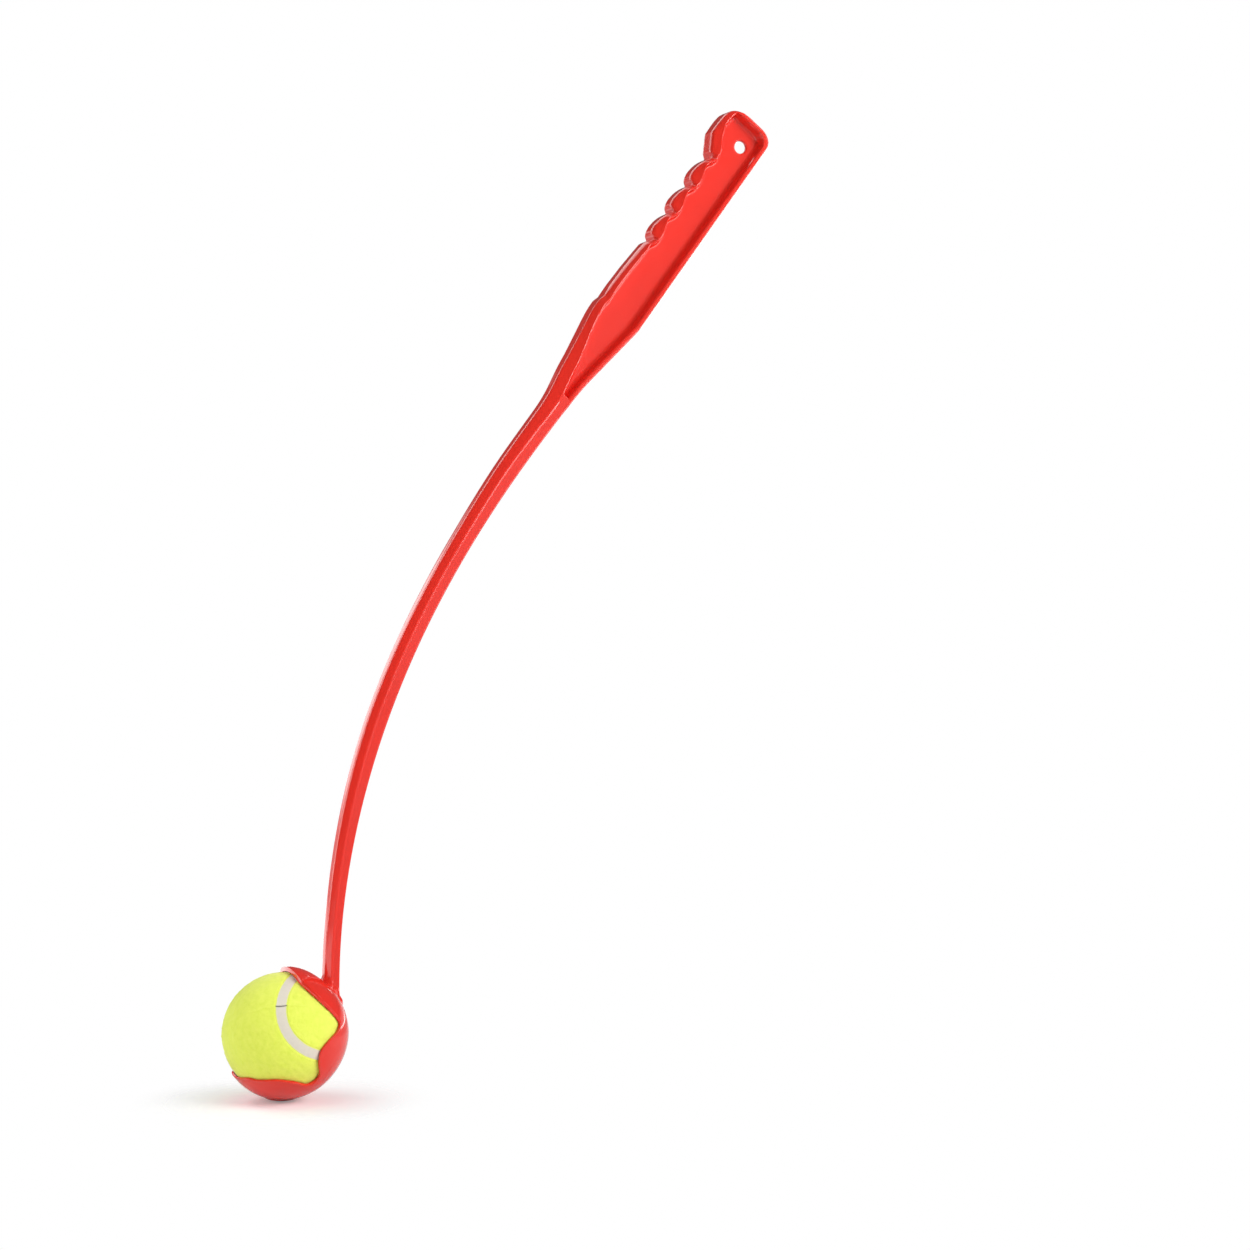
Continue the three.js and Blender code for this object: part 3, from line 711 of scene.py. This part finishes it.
def catmull(points, count):
    """Centripetal Catmull-Rom curve through points, at equal steps along it."""
    p = np.vstack([2 * points[0] - points[1], points, 2 * points[-1] - points[-2]])
    out = []
    for i in range(1, len(p) - 2):
        p0, p1, p2, p3 = p[i - 1 : i + 3]
        t0 = 0.0
        t1 = t0 + np.linalg.norm(p1 - p0) ** 0.5
        t2 = t1 + np.linalg.norm(p2 - p1) ** 0.5
        t3 = t2 + np.linalg.norm(p3 - p2) ** 0.5
        for t in np.linspace(t1, t2, SPAN_STEPS, endpoint=False):
            a1 = between(p0, p1, t0, t1, t)
            a2 = between(p1, p2, t1, t2, t)
            a3 = between(p2, p3, t2, t3, t)
            b1 = between(a1, a2, t0, t2, t)
            b2 = between(a2, a3, t1, t3, t)
            out.append(between(b1, b2, t1, t2, t))
    out = np.array([*out, points[-1]])
    run = np.concatenate([[0], np.cumsum(np.linalg.norm(np.diff(out, axis=0), axis=1))])
    even = np.linspace(0, run[-1], count)
    return np.stack([np.interp(even, run, out[:, k]) for k in (0, 1)], 1)


def arcs_between(one, other, angle, share):
    """Unit vectors on arcs between two rows of them, by each arc's angle and the share along it."""
    n = (np.sin((1 - share) * angle) / np.sin(angle))[..., None] * one[:, None]
    n = n + (np.sin(share * angle) / np.sin(angle))[..., None] * other[:, None]
    return n / np.linalg.norm(n, axis=-1, keepdims=True)


def cup_rows():
    """Unit vectors to the cut's edge and to the middle plane across from it, row by row."""
    edge = catmull(CUT_EDGE, EDGE_SAMPLES)
    angle = np.mod(np.degrees(np.arctan2(edge[:, 1], edge[:, 0])), 360)
    reach = inner_radius(np.stack([edge[:, 0], 0 * angle, edge[:, 1]], 1)) - EDGE_OVERLAP
    radius = np.linalg.norm(edge, axis=1)
    inside = np.nonzero(radius < reach)[0]
    kept = slice(inside[0], inside[-1] + 1)
    edge, angle, reach, radius = (v[kept] for v in (edge, angle, reach, radius))
    spine = np.minimum.accumulate(np.where(angle > 180, angle - 360, angle))
    spine = np.minimum.accumulate(eased(spine, 1.0, SPINE_EASING))
    side = np.sqrt(np.maximum(reach**2 - radius**2, 0))
    unit = np.stack([edge[:, 0], side, edge[:, 1]], 1)
    unit /= np.linalg.norm(unit, axis=1, keepdims=True)
    # even steps along the edge and the spine together
    edge_moves = np.linalg.norm(np.diff(unit, axis=0), axis=1)
    spine_moves = np.radians(np.abs(np.diff(spine)))
    run = np.concatenate([[0], np.cumsum(edge_moves + spine_moves * SPINE_WEIGHT)])
    picks = np.linspace(0, run[-1], CUP_ROWS)
    unit = np.stack([np.interp(picks, run, unit[:, k]) for k in range(3)], 1)
    unit /= np.linalg.norm(unit, axis=1, keepdims=True)
    spine = np.radians(np.interp(picks, run, spine))
    return unit, np.stack([np.cos(spine), 0 * spine, np.sin(spine)], 1)


def cup_object():
    """The shell of both jaws: arcs from the cut's edge to the middle plane, outside and inside."""
    unit, middle = cup_rows()
    angle = np.maximum(np.arccos(np.clip((unit * middle).sum(1), -1, 1)), 1e-6)[:, None]
    arc = angle * CUP_OUTER
    near = np.minimum(CUP_NEAR / arc, 0.5 * np.arange(len(CUP_NEAR)) / len(CUP_NEAR))
    rest = mix(near[:, -1:], 1.0, np.linspace(0, 1, CUP_STEPS)[None, 1:])
    share = np.concatenate([near, rest], 1)
    n = arcs_between(unit, middle, angle, share)
    away = share * arc
    outer, inner = outer_radius(n), inner_radius(n)
    wall = outer - inner
    # the upper jaw's cut is bevelled, and its tip a little thinner
    around = angle_round(n)
    upper = smoothstep(around, *UPPER_JAW_START) * smoothstep(around, *UPPER_JAW_END)
    slant = BEVEL_SHARE * wall * np.clip(1.0 - away / BEVEL_WIDTH, 0, 1) * upper
    thin = TIP_THINNING_SHARE * wall * smoothstep(around, *TIP_THINNING_ZONE) * upper
    off_outside = rounded_edge(away, OUTER_EDGE) + slant + thin
    outer = outer - np.minimum(off_outside, wall * MOST_FROM_OUTSIDE)
    inner = inner + np.minimum(rounded_edge(away, INNER_EDGE), wall * MOST_FROM_INSIDE)
    skin_out = n * outer[..., None] + CUP_CENTRE
    skin_in = n * inner[..., None] + CUP_CENTRE
    # one ring for each row: outside from +Y round to -Y, inside back again
    ring = np.concatenate(
        [skin_out, (skin_out * MIRROR)[:, -2::-1], skin_in * MIRROR, skin_in[:, -2::-1]], 1
    )
    rows, columns = share.shape
    faces = loft_faces(rows, ring.shape[1]) + end_strips(rows, ring.shape[1], 2 * columns - 2, 1)
    return mesh_object("cup", ring.reshape(-1, 3), faces)


CUP_CUT_MARGIN = 0.8
BALL_AROUND = 96
BALL_ACROSS = 48


def ball_skin(name, radius):
    angles = [math.pi * i / BALL_ACROSS for i in range(1, BALL_ACROSS)]
    profile = [(-radius * math.cos(angle), radius * math.sin(angle)) for angle in angles]
    return revolve(name, profile, BALL_AROUND, CUP_CENTRE)


# ---------------------------------------------------------------- hang hole
HOLE_RADIUS = HOLE_DIAMETER / 2 - 0.05
HOLE_EDGE = WEB / 2 - 0.1
HOLE_MOUTH = HOLE_RADIUS + HOLE_EDGE + 0.05
HOLE_REACH = 6.0
HOLE_OVERRUN = 0.1
HOLE_STEPS = 7
HOLE_AROUND = 64


def hole_object():
    """The tool that cuts the hang hole, with both of its edges rounded."""
    station = np.array([HANDLE_LENGTH - HOLE_FROM_END])
    x, z = (back_edge_at(station) + across_at(station) * HOLE_FROM_BACK)[0]
    profile = [(-HOLE_REACH, HOLE_MOUTH), (-WEB / 2 - HOLE_OVERRUN, HOLE_MOUTH)]
    for k in range(HOLE_STEPS + 1):
        turn = math.pi / 2 * k / HOLE_STEPS
        offset = -WEB / 2 + HOLE_EDGE * (1 - math.cos(turn))
        profile.append((offset, HOLE_RADIUS + HOLE_EDGE * (1 - math.sin(turn))))
    profile += [(-offset, radius) for offset, radius in profile[::-1]]
    return revolve("hole", profile, HOLE_AROUND, (x, 0.0, z))


WAND_SHARP_ANGLE = 38
wand = stick_object()
boolean(wand, ball_skin("cup_cut", CUP_INNER + CUP_CUT_MARGIN), "DIFFERENCE")
boolean(wand, hole_object(), "DIFFERENCE")
boolean(wand, cup_object(), "UNION")
wand.name = "wand_moulding"
weld(wand.data, JOIN_WELD, drop_short_edges)
finish_shading(wand, WAND_SHARP_ANGLE)

# ---------------------------------------------------------------- ball
COVER_ANGLES = (-73.9, 54.6, -175.7)
cover_turns = [Matrix.Rotation(math.radians(a), 3, axis) for a, axis in zip(COVER_ANGLES, "XYZ")]
cover_matrix = np.array(cover_turns[0] @ cover_turns[1] @ cover_turns[2])
CORE_TILT = np.array([0.14, 0.56, 0.82])
CORE_TILT = CORE_TILT / np.linalg.norm(CORE_TILT)
FELT_SHARP_ANGLE = 60
UNDERSIDE_RADIUS = BALL_RADIUS - FELT_THICKNESS + 0.02
HALF_GROOVE = SEAM_WIDTH / 2 + PIECE_GAP
NOISE_WAVES = 48
# the faint ridge over the core's joint, between two hollows
RIDGE_HEIGHT = 0.26
RIDGE_WIDTH = 0.6
RIDGE_HOLLOW = 0.05
RIDGE_HOLLOW_WIDTH = 1.6
# the felt panels: their mesh, their edges and their nap
FELT_STEPS = 300
FELT_ARC_POINTS = 96
FELT_UNDER_POINTS = 14
FELT_NEAR = np.array([0.0, 0.15, 0.35, 0.6, 0.95, 1.4])
FELT_SETBACK = 0.05
FELT_EDGE = 0.8
FELT_EDGE_SHARE = 0.7
FELT_TIP_STEP = 0.42
RAGGEDNESS = 0.12
# height, seed and size of the fluff's two noises
FLUFF = [(0.07, 5, 4.5), (0.04, 6, 1.8)]
FLUFF_START = 1.2
# the seam band, and the split in it over the core's joint
SEAM_STEPS = 1100
SEAM_OVERLAP = 0.25
SEAM_SHARES = (-1.0, -0.97, -0.9, -0.8, -0.66, -0.4, 0.0, 0.4, 0.66, 0.8, 0.9, 0.97, 1.0)
SEAM_SETBACK = 0.38
SEAM_CROWN = 0.12
SEAM_ROUGHNESS = 0.03
FIBRE_SHARES = (0.6, 1.0)
SPLIT_WIDTH = 0.32
SPLIT_DEPTH = 0.5
SPLIT_BOW = 0.5
SPLIT_END = 0.95


def seam_unit(turn):
    main = 1 - SEAM_WAVE
    p = np.stack(
        [
            main * np.cos(turn) + SEAM_WAVE * np.cos(3 * turn),
            main * np.sin(turn) - SEAM_WAVE * np.sin(3 * turn),
            2 * math.sqrt(main * SEAM_WAVE) * np.sin(2 * turn),
        ],
        -1,
    )
    return p / np.linalg.norm(p, axis=-1, keepdims=True)


def seam_side(turn, offset):
    """Unit vector beside the seam, offset across it by an arc length at the ball's surface."""
    out = seam_unit(turn)
    ahead = seam_unit(turn + 1e-4) - seam_unit(turn - 1e-4)
    ahead /= np.linalg.norm(ahead, axis=-1, keepdims=True)
    across = np.cross(out, ahead)
    angle = np.asarray(offset) / BALL_RADIUS
    return out * np.cos(angle)[..., None] + across * np.sin(angle)[..., None]


def noise3(points, seed, scale):
    """Smooth repeatable noise from many tilted waves, about -1 to 1."""
    rng = np.random.default_rng(seed)
    total = np.zeros(points.shape[:-1])
    for _ in range(NOISE_WAVES):
        direction = rng.normal(size=3)
        direction /= np.linalg.norm(direction)
        rate = 2 * math.pi / scale * rng.uniform(0.7, 1.4)
        total += np.sin(points @ direction * rate + rng.uniform(0, 2 * math.pi))
    return total / math.sqrt(NOISE_WAVES)


def on_ball(unit, radius):
    """Ball points from units in the cover's own frame."""
    return (unit * radius[..., None]) @ cover_matrix.T + CUP_CENTRE


def from_core_joint(unit):
    """Distance from the joint of the core's halves, along the ball."""
    return (unit @ cover_matrix.T @ CORE_TILT) * BALL_RADIUS


def core_ridge(unit):
    """The joint of the core's halves shows through the felt as a faint raised line."""
    away = from_core_joint(unit)
    hollow = RIDGE_HOLLOW * np.exp(-((away / RIDGE_HOLLOW_WIDTH) ** 2))
    return RIDGE_HEIGHT * np.exp(-((away / RIDGE_WIDTH) ** 2)) - hollow


def felt_object(name, side):
    """One dog-bone panel: arcs from its edge to the edge's mirror image, rounded to the seam."""
    start = -side * math.pi / 4
    turn = start + np.linspace(0, np.pi, FELT_STEPS)
    wander = noise3(seam_unit(turn) * BALL_RADIUS, seed=11, scale=1.5)
    ragged = RAGGEDNESS * wander * np.sin(turn - start) ** 0.5
    one = seam_side(turn, (HALF_GROOVE + ragged) * side)
    other = np.stack([-side * one[:, 1], -side * one[:, 0], one[:, 2]], -1)
    omega = np.arccos(np.clip((one * other).sum(-1), -1, 1))[:, None]
    omega[[0, -1]] = 0
    arc = np.maximum(omega, 1e-7) * BALL_RADIUS
    angle = np.maximum(omega, 1e-6)
    near = np.minimum(FELT_NEAR / arc, 0.25 * np.arange(len(FELT_NEAR)) / len(FELT_NEAR))
    middle = mix(near[:, -1:], 1 - near[:, -1:], np.linspace(0, 1, FELT_ARC_POINTS)[None, 1:-1])
    share = np.concatenate([near, middle, 1 - near[:, ::-1]], 1)
    n = arcs_between(one, other, angle, share)
    # distance in from the edge, for its rounding
    steps = np.arange(FELT_STEPS)
    tips = np.minimum(steps, steps[::-1])[:, None] * FELT_TIP_STEP
    away = np.minimum(np.minimum(share, 1 - share) * arc, tips)
    drop = rounded_edge(away, FELT_EDGE) * FELT_EDGE_SHARE
    fluff = sum(height * noise3(n * BALL_RADIUS, seed, scale) for height, seed, scale in FLUFF)
    fluff = fluff * np.clip(away / FLUFF_START, 0, 1)
    top = on_ball(n, BALL_RADIUS - FELT_SETBACK - drop + fluff + core_ridge(n))
    under = arcs_between(one, other, angle, np.linspace(1, 0, FELT_UNDER_POINTS)[None])
    bottom = on_ball(under, np.full(under.shape[:2], UNDERSIDE_RADIUS))
    ring = np.concatenate([top, bottom], 1)
    faces = loft_faces(FELT_STEPS, ring.shape[1])
    return mesh_object(name, ring.reshape(-1, 3), faces, FELT_SHARP_ANGLE)


def seam_object(name):
    """The cement band that fills the groove. Its split lies over the joint of the core's halves."""
    turn = np.linspace(0, 2 * math.pi, SEAM_STEPS, endpoint=False)
    half_band = HALF_GROOVE + SEAM_OVERLAP
    rows, fibres, splits = [], [], []
    for share in SEAM_SHARES:
        n = seam_side(turn, np.full(SEAM_STEPS, share * half_band))
        rough = SEAM_ROUGHNESS * noise3(n * BALL_RADIUS, seed=9, scale=2.4)
        bow = from_core_joint(n) - SPLIT_BOW * share**2
        split = np.exp(-((bow / SPLIT_WIDTH) ** 2)) * (abs(share) < SPLIT_END)
        crown = BALL_RADIUS - SEAM_SETBACK + SEAM_CROWN * (1 - share**2)
        rows.append(on_ball(n, crown + rough + core_ridge(n) - SPLIT_DEPTH * split))
        fibres.append(np.full(SEAM_STEPS, smoothstep(abs(share), *FIBRE_SHARES)))
        splits.append(split)
    for share in (1.0, 0.0, -1.0):
        n = seam_side(turn, np.full(SEAM_STEPS, share * half_band))
        rows.append(on_ball(n, np.full(SEAM_STEPS, UNDERSIDE_RADIUS)))
        fibres.append(np.zeros(SEAM_STEPS))
        splits.append(np.zeros(SEAM_STEPS))
    ring = np.stack(rows, 1)
    count = ring.shape[1]
    faces = loft_faces(SEAM_STEPS, count)
    for j in range(count):
        a, b = (SEAM_STEPS - 1) * count + j, (SEAM_STEPS - 1) * count + (j + 1) % count
        faces.append((a, b, (j + 1) % count, j))
    layers = {"fibres": np.stack(fibres, 1), "split": np.stack(splits, 1)}
    return mesh_object(name, ring.reshape(-1, 3), faces, FELT_SHARP_ANGLE, layers)


# ---------------------------------------------------------------- materials
WHITE = (1, 1, 1, 1)


def feed(tree, socket, value):
    """Links an output to a socket, or sets the socket to a plain value."""
    if isinstance(value, bpy.types.NodeSocket):
        tree.links.new(value, socket)
    else:
        socket.default_value = value


def node(tree, kind, *numbered, **named):
    """A new node. Named values feed a socket or set an option, others feed its first sockets."""
    made = tree.nodes.new(kind)
    for key, value in named.items():
        if key in made.inputs:
            feed(tree, made.inputs[key], value)
        else:
            setattr(made, key, value)
    for socket, value in zip(made.inputs, numbered):
        feed(tree, socket, value)
    return made


def maths(tree, operation, one, other):
    return node(tree, "ShaderNodeMath", one, other, operation=operation).outputs["Value"]


def along_axis(tree, vector, direction):
    made = node(tree, "ShaderNodeVectorMath", vector, direction, operation="DOT_PRODUCT")
    return made.outputs["Value"]


def ramp(tree, value, low, high, start, end):
    """Goes smoothly from start to end as a value goes from low to high."""
    limits = {"From Min": low, "From Max": high, "To Min": start, "To Max": end}
    made = node(tree, "ShaderNodeMapRange", Value=value, interpolation_type="SMOOTHSTEP", **limits)
    return made.outputs["Result"]


def product(tree, *ramps):
    """The product of ramps, each given as (value, low, high, start, end)."""
    total = ramp(tree, *ramps[0])
    for row in ramps[1:]:
        total = maths(tree, "MULTIPLY", total, ramp(tree, *row))
    return total


def mixed_shader(tree, share, one, other):
    return node(tree, "ShaderNodeMixShader", share, one, other).outputs["Shader"]


def mixed_colour(tree, share, one, other):
    made = node(tree, "ShaderNodeMix", data_type="RGBA")
    for number, value in ((0, share), (6, one), (7, other)):
        feed(tree, made.inputs[number], value)
    return made.outputs[2]


def noise_map(tree, **values):
    """Noise in the object's own coordinates."""
    where = node(tree, "ShaderNodeTexCoord").outputs["Object"]
    return node(tree, "ShaderNodeTexNoise", Vector=where, **values).outputs["Fac"]


def two_tones(tree, share, positions, dark, light):
    tone = node(tree, "ShaderNodeValToRGB", Fac=share)
    for element, position, colour in zip(tone.color_ramp.elements, positions, (dark, light)):
        element.position = position
        element.color = (*colour, 1)
    return tone.outputs["Color"]


def bump_map(tree, height, strength, distance):
    bump = node(tree, "ShaderNodeBump", Height=height, Strength=strength, Distance=distance)
    return bump.outputs["Normal"]


def new_material(name):
    material = bpy.data.materials.new(name)
    material.use_nodes = True
    tree = material.node_tree
    return material, tree, tree.nodes["Principled BSDF"]


def fill_shader(tree, shader, values):
    for name, value in values.items():
        feed(tree, shader.inputs[name], value)


def plastic(name, colour):
    material, tree, shader = new_material(name)
    cloud = noise_map(tree, Scale=38.0, Detail=3.0, Roughness=0.5)
    wipe = noise_map(tree, Scale=140.0, Detail=4.0, Roughness=0.6)
    peel = noise_map(tree, Scale=90.0, Detail=1.0)
    gloss = node(tree, "ShaderNodeMapRange", Value=wipe, **{"To Min": 0.07, "To Max": 0.14})
    values = {
        "Base Color": two_tones(tree, cloud, (0.3, 0.7), [c * 0.96 for c in colour], colour),
        "Roughness": gloss.outputs["Result"],
        "Normal": bump_map(tree, peel, strength=0.03, distance=0.0003),
        "IOR": 1.5,
    }
    fill_shader(tree, shader, values)
    return material


def felt(name, dark, light, sheen):
    material, tree, shader = new_material(name)
    blotch = noise_map(tree, Scale=330.0, Detail=5.0, Roughness=0.65)
    fibre = noise_map(tree, Scale=900.0, Detail=6.0, Roughness=0.75, Distortion=1.2)
    values = {
        "Base Color": two_tones(tree, blotch, (0.25, 0.75), dark, light),
        "Normal": bump_map(tree, fibre, strength=0.55, distance=0.0005),
        "Roughness": 0.95,
        "Specular IOR Level": 0.1,
        "Sheen Weight": 0.5,
        "Sheen Roughness": 0.5,
        "Sheen Tint": (*sheen, 1),
    }
    fill_shader(tree, shader, values)
    return material


def rubber(name, colour, roughness):
    material, tree, shader = new_material(name)
    grain = noise_map(tree, Scale=500.0, Detail=5.0, Roughness=0.6)
    values = {
        "Base Color": two_tones(tree, grain, (0.0, 1.0), [c * 0.88 for c in colour], colour),
        "Normal": bump_map(tree, grain, strength=0.3, distance=0.0002),
        "Roughness": roughness,
    }
    fill_shader(tree, shader, values)
    return material


def seam_rubber(name, colour, hair_colour, crack_colour):
    """Pale cement: felt fibres lie over its edges, and its split shows dark."""
    material = rubber(name, colour, 0.75)
    tree = material.node_tree
    base = tree.nodes["Principled BSDF"].inputs["Base Color"]
    hair = noise_map(tree, Scale=1100.0, Detail=4.0, Roughness=0.7)
    edge = node(tree, "ShaderNodeAttribute", attribute_name="fibres").outputs["Fac"]
    crack = node(tree, "ShaderNodeAttribute", attribute_name="split").outputs["Fac"]
    cover = node(tree, "ShaderNodeMath", hair, 0.9, edge, operation="MULTIPLY_ADD").outputs["Value"]
    hairy = ramp(tree, cover, 0.62, 1.15, 0.0, 1.0)
    haired = mixed_colour(tree, hairy, base.links[0].from_socket, (*hair_colour, 1))
    feed(tree, base, mixed_colour(tree, crack, haired, (*crack_colour, 1)))
    return material


red = plastic("red_plastic", (0.80, 0.032, 0.020))
yellow = felt("yellow_felt", (0.79, 0.905, 0.095), (0.90, 0.985, 0.155), (0.95, 1.0, 0.6))
cement = seam_rubber("seam_cement", (0.80, 0.74, 0.63), (0.86, 0.93, 0.14), (0.05, 0.05, 0.03))
dark = rubber("core_rubber", (0.045, 0.045, 0.042), 0.85)

felt_upper = felt_object("felt_upper", 1)
felt_lower = felt_object("felt_lower", -1)
seam = seam_object("seam_band")

for obj, material, body, slot, replaced in [
    (wand, red, "thrower", "red_plastic", "wand"),
    (felt_upper, yellow, "ball", "yellow_felt", "ball_felt_upper"),
    (felt_lower, yellow, "ball", "yellow_felt", "ball_felt_lower"),
    (seam, cement, "ball", "seam_cement", "ball_seam"),
]:
    obj.data.materials.clear()
    obj.data.materials.append(material)
    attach(obj, body)
    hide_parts(replaced)
for name in ("ball_core_upper", "ball_core_lower"):
    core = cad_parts[name]
    core.data.materials.clear()
    core.data.materials.append(dark)

# ---------------------------------------------------------------- floor and backdrop
scene.view_settings.view_transform = "Standard"
object_middle = Vector([(a + b) / 2 for a, b in zip(*cad_box)])
camera_right = Vector((math.cos(CAMERA_AZIMUTH), math.sin(CAMERA_AZIMUTH), 0.0))
camera_back = Vector((math.sin(CAMERA_AZIMUTH), -math.cos(CAMERA_AZIMUTH), 0.0))
FLOOR_Z = cad_box[0][2] - 0.0004
FLOOR_REACH = 6.0
# the floor's own light for the camera, and where it gives way to the white backdrop
FLOOR_LIFT = 0.2
FLOOR_FADE = (0.02, 0.085)
GLOW_START = (0.15, 0.4)

floor_corners = [(-1, -1), (1, -1), (1, 1), (-1, 1)]
floor_points = [(x * FLOOR_REACH, y * FLOOR_REACH, FLOOR_Z) for x, y in floor_corners]
floor_mesh = bpy.data.meshes.new("floor")
floor_mesh.from_pydata(floor_points, [], [(0, 1, 2, 3)])
floor = bpy.data.objects.new("floor", floor_mesh)
scene.collection.objects.link(floor)
floor_material, tree, shader = new_material("floor")
floor_look = {"Base Color": (0.86, 0.86, 0.86, 1), "Roughness": 0.9, "Specular IOR Level": 0.0}
fill_shader(tree, shader, floor_look)
path = node(tree, "ShaderNodeLightPath").outputs
where = node(tree, "ShaderNodeTexCoord").outputs["Object"]
contact = (CUP_CENTRE[0] * MM, 0.0, FLOOR_Z)
distance = node(tree, "ShaderNodeVectorMath", where, contact, operation="DISTANCE")
from_contact = distance.outputs["Value"]

lift = maths(tree, "MULTIPLY", path["Is Camera Ray"], FLOOR_LIFT)
glow = node(tree, "ShaderNodeEmission", Color=WHITE, Strength=lift).outputs["Emission"]
lifted = node(tree, "ShaderNodeAddShader", shader.outputs["BSDF"], glow).outputs["Shader"]
# away from the contact the floor gives way to the white backdrop
fade = ramp(tree, from_contact, *FLOOR_FADE, 0.0, 1.0)
gone = maths(tree, "MULTIPLY", fade, path["Is Camera Ray"])
clear = node(tree, "ShaderNodeBsdfTransparent").outputs["BSDF"]
shown = mixed_shader(tree, gone, lifted, clear)
# in the gloss the far floor is white at the right and dim at the left
sideways = along_axis(tree, where, camera_right)
towards = along_axis(tree, where, camera_back)
right_level = product(
    tree,
    (sideways, 0.65, 1.3, 0.0, 9.0),
    (sideways, 2.2, 4.5, 1.0, 0.4),
    (towards, 0.35, 0.7, 1.0, 0.04),
)
left_level = product(tree, (sideways, -0.35, 0.0, 2.4, 0.45), (from_contact, 1.7, 2.6, 1.0, 0.3))
far_level = maths(tree, "ADD", right_level, left_level)
far_glow = node(tree, "ShaderNodeEmission", Strength=far_level).outputs["Emission"]
far = ramp(tree, from_contact, *GLOW_START, 0.0, 1.0)
far_gloss = maths(tree, "MULTIPLY", far, path["Is Glossy Ray"])
floor_shader = mixed_shader(tree, far_gloss, shown, far_glow)
feed(tree, tree.nodes["Material Output"].inputs["Surface"], floor_shader)
floor.data.materials.append(floor_material)

# ---------------------------------------------------------------- world
SOFT_LIGHT = 0.18

world = bpy.data.worlds.new("studio")
scene.world = world
world.use_nodes = True
tree = world.node_tree
tree.nodes.clear()
path = node(tree, "ShaderNodeLightPath").outputs
sky = node(tree, "ShaderNodeTexCoord").outputs["Generated"]
height = node(tree, "ShaderNodeSeparateXYZ", sky).outputs["Z"]
to_left = along_axis(tree, sky, -camera_right)
to_far = along_axis(tree, sky, -camera_back)
leaning = camera_right * 0.19 + Vector((0, 0, 0.235)) + camera_back * 0.953
lean = along_axis(tree, sky, leaning)
near_side = along_axis(tree, sky, camera_right * -0.35 + camera_back * 0.94)
# what the gloss sees: a white sweep near the horizon that darkens upwards, a tall soft box that
# leans over the object at its left, and a window far behind it
horizon = product(tree, (height, 0.03, 0.17, 0.85, 0.12), (near_side, 0.45, 0.75, 1.0, 0.2))
box = product(
    tree,
    (lean, -0.66, -0.5, 0.0, 1.0),
    (lean, 0.02, 0.2, 1.0, 0.0),
    (to_left, 0.1, 0.3, 0.0, 3.6),
)
window = product(
    tree,
    (height, 0.04, 0.13, 0.0, 1.0),
    (height, 0.335, 0.4, 1.0, 0.0),
    (to_far, 0.62, 0.68, 0.0, 1.0),
    (to_left, 0.48, 0.56, 0.0, 3.0),
)
seen_in_gloss = maths(tree, "ADD", maths(tree, "ADD", horizon, box), window)
soft_light, sweep, white = (
    node(tree, "ShaderNodeBackground", Color=WHITE, Strength=level).outputs["Background"]
    for level in (SOFT_LIGHT, seen_in_gloss, 1.0)
)
glossy = mixed_shader(tree, path["Is Glossy Ray"], soft_light, sweep)
chosen = mixed_shader(tree, path["Is Camera Ray"], glossy, white)
node(tree, "ShaderNodeOutputWorld", Surface=chosen)


# ---------------------------------------------------------------- lamps
def soft_box(name, direction, distance, size, energy, aim=object_middle):
    """An area lamp, placed by its direction from its aim: right, up and towards the camera."""
    data = bpy.data.lights.new(name, "AREA")
    data.shape = "RECTANGLE"
    data.size, data.size_y = size
    data.energy = energy
    lamp = bpy.data.objects.new(name, data)
    right, up, back = direction
    away = (camera_right * right + Vector((0, 0, 1)) * up + camera_back * back).normalized()
    lamp.location = Vector(aim) + away * distance
    lamp.rotation_euler = away.to_track_quat("Z", "Y").to_euler()
    lamp.visible_camera = False
    scene.collection.objects.link(lamp)
    return lamp


soft_box("right", (0.86, 0.48, 0.1), 1.8, (1.0, 1.0), 9)
soft_box("back", (0.22, 0.28, -0.93), 1.8, (0.2, 0.7), 1.4)
for lamp in (
    soft_box("rim", (-0.64, 0.3, -0.705), 2.0, (0.5, 0.6), 2.8),
    soft_box("key", (0.81, 0.36, 0.48), 1.8, (1.0, 0.9), 23.5),
    soft_box("side", (-0.67, 0.72, -0.15), 1.7, (1.24, 0.66), 9),
    soft_box("fill", (-0.75, 0.35, 0.56), 0.75, (0.5, 0.5), 2.2, aim=CUP_CENTRE * MM),
):
    lamp.visible_glossy = False
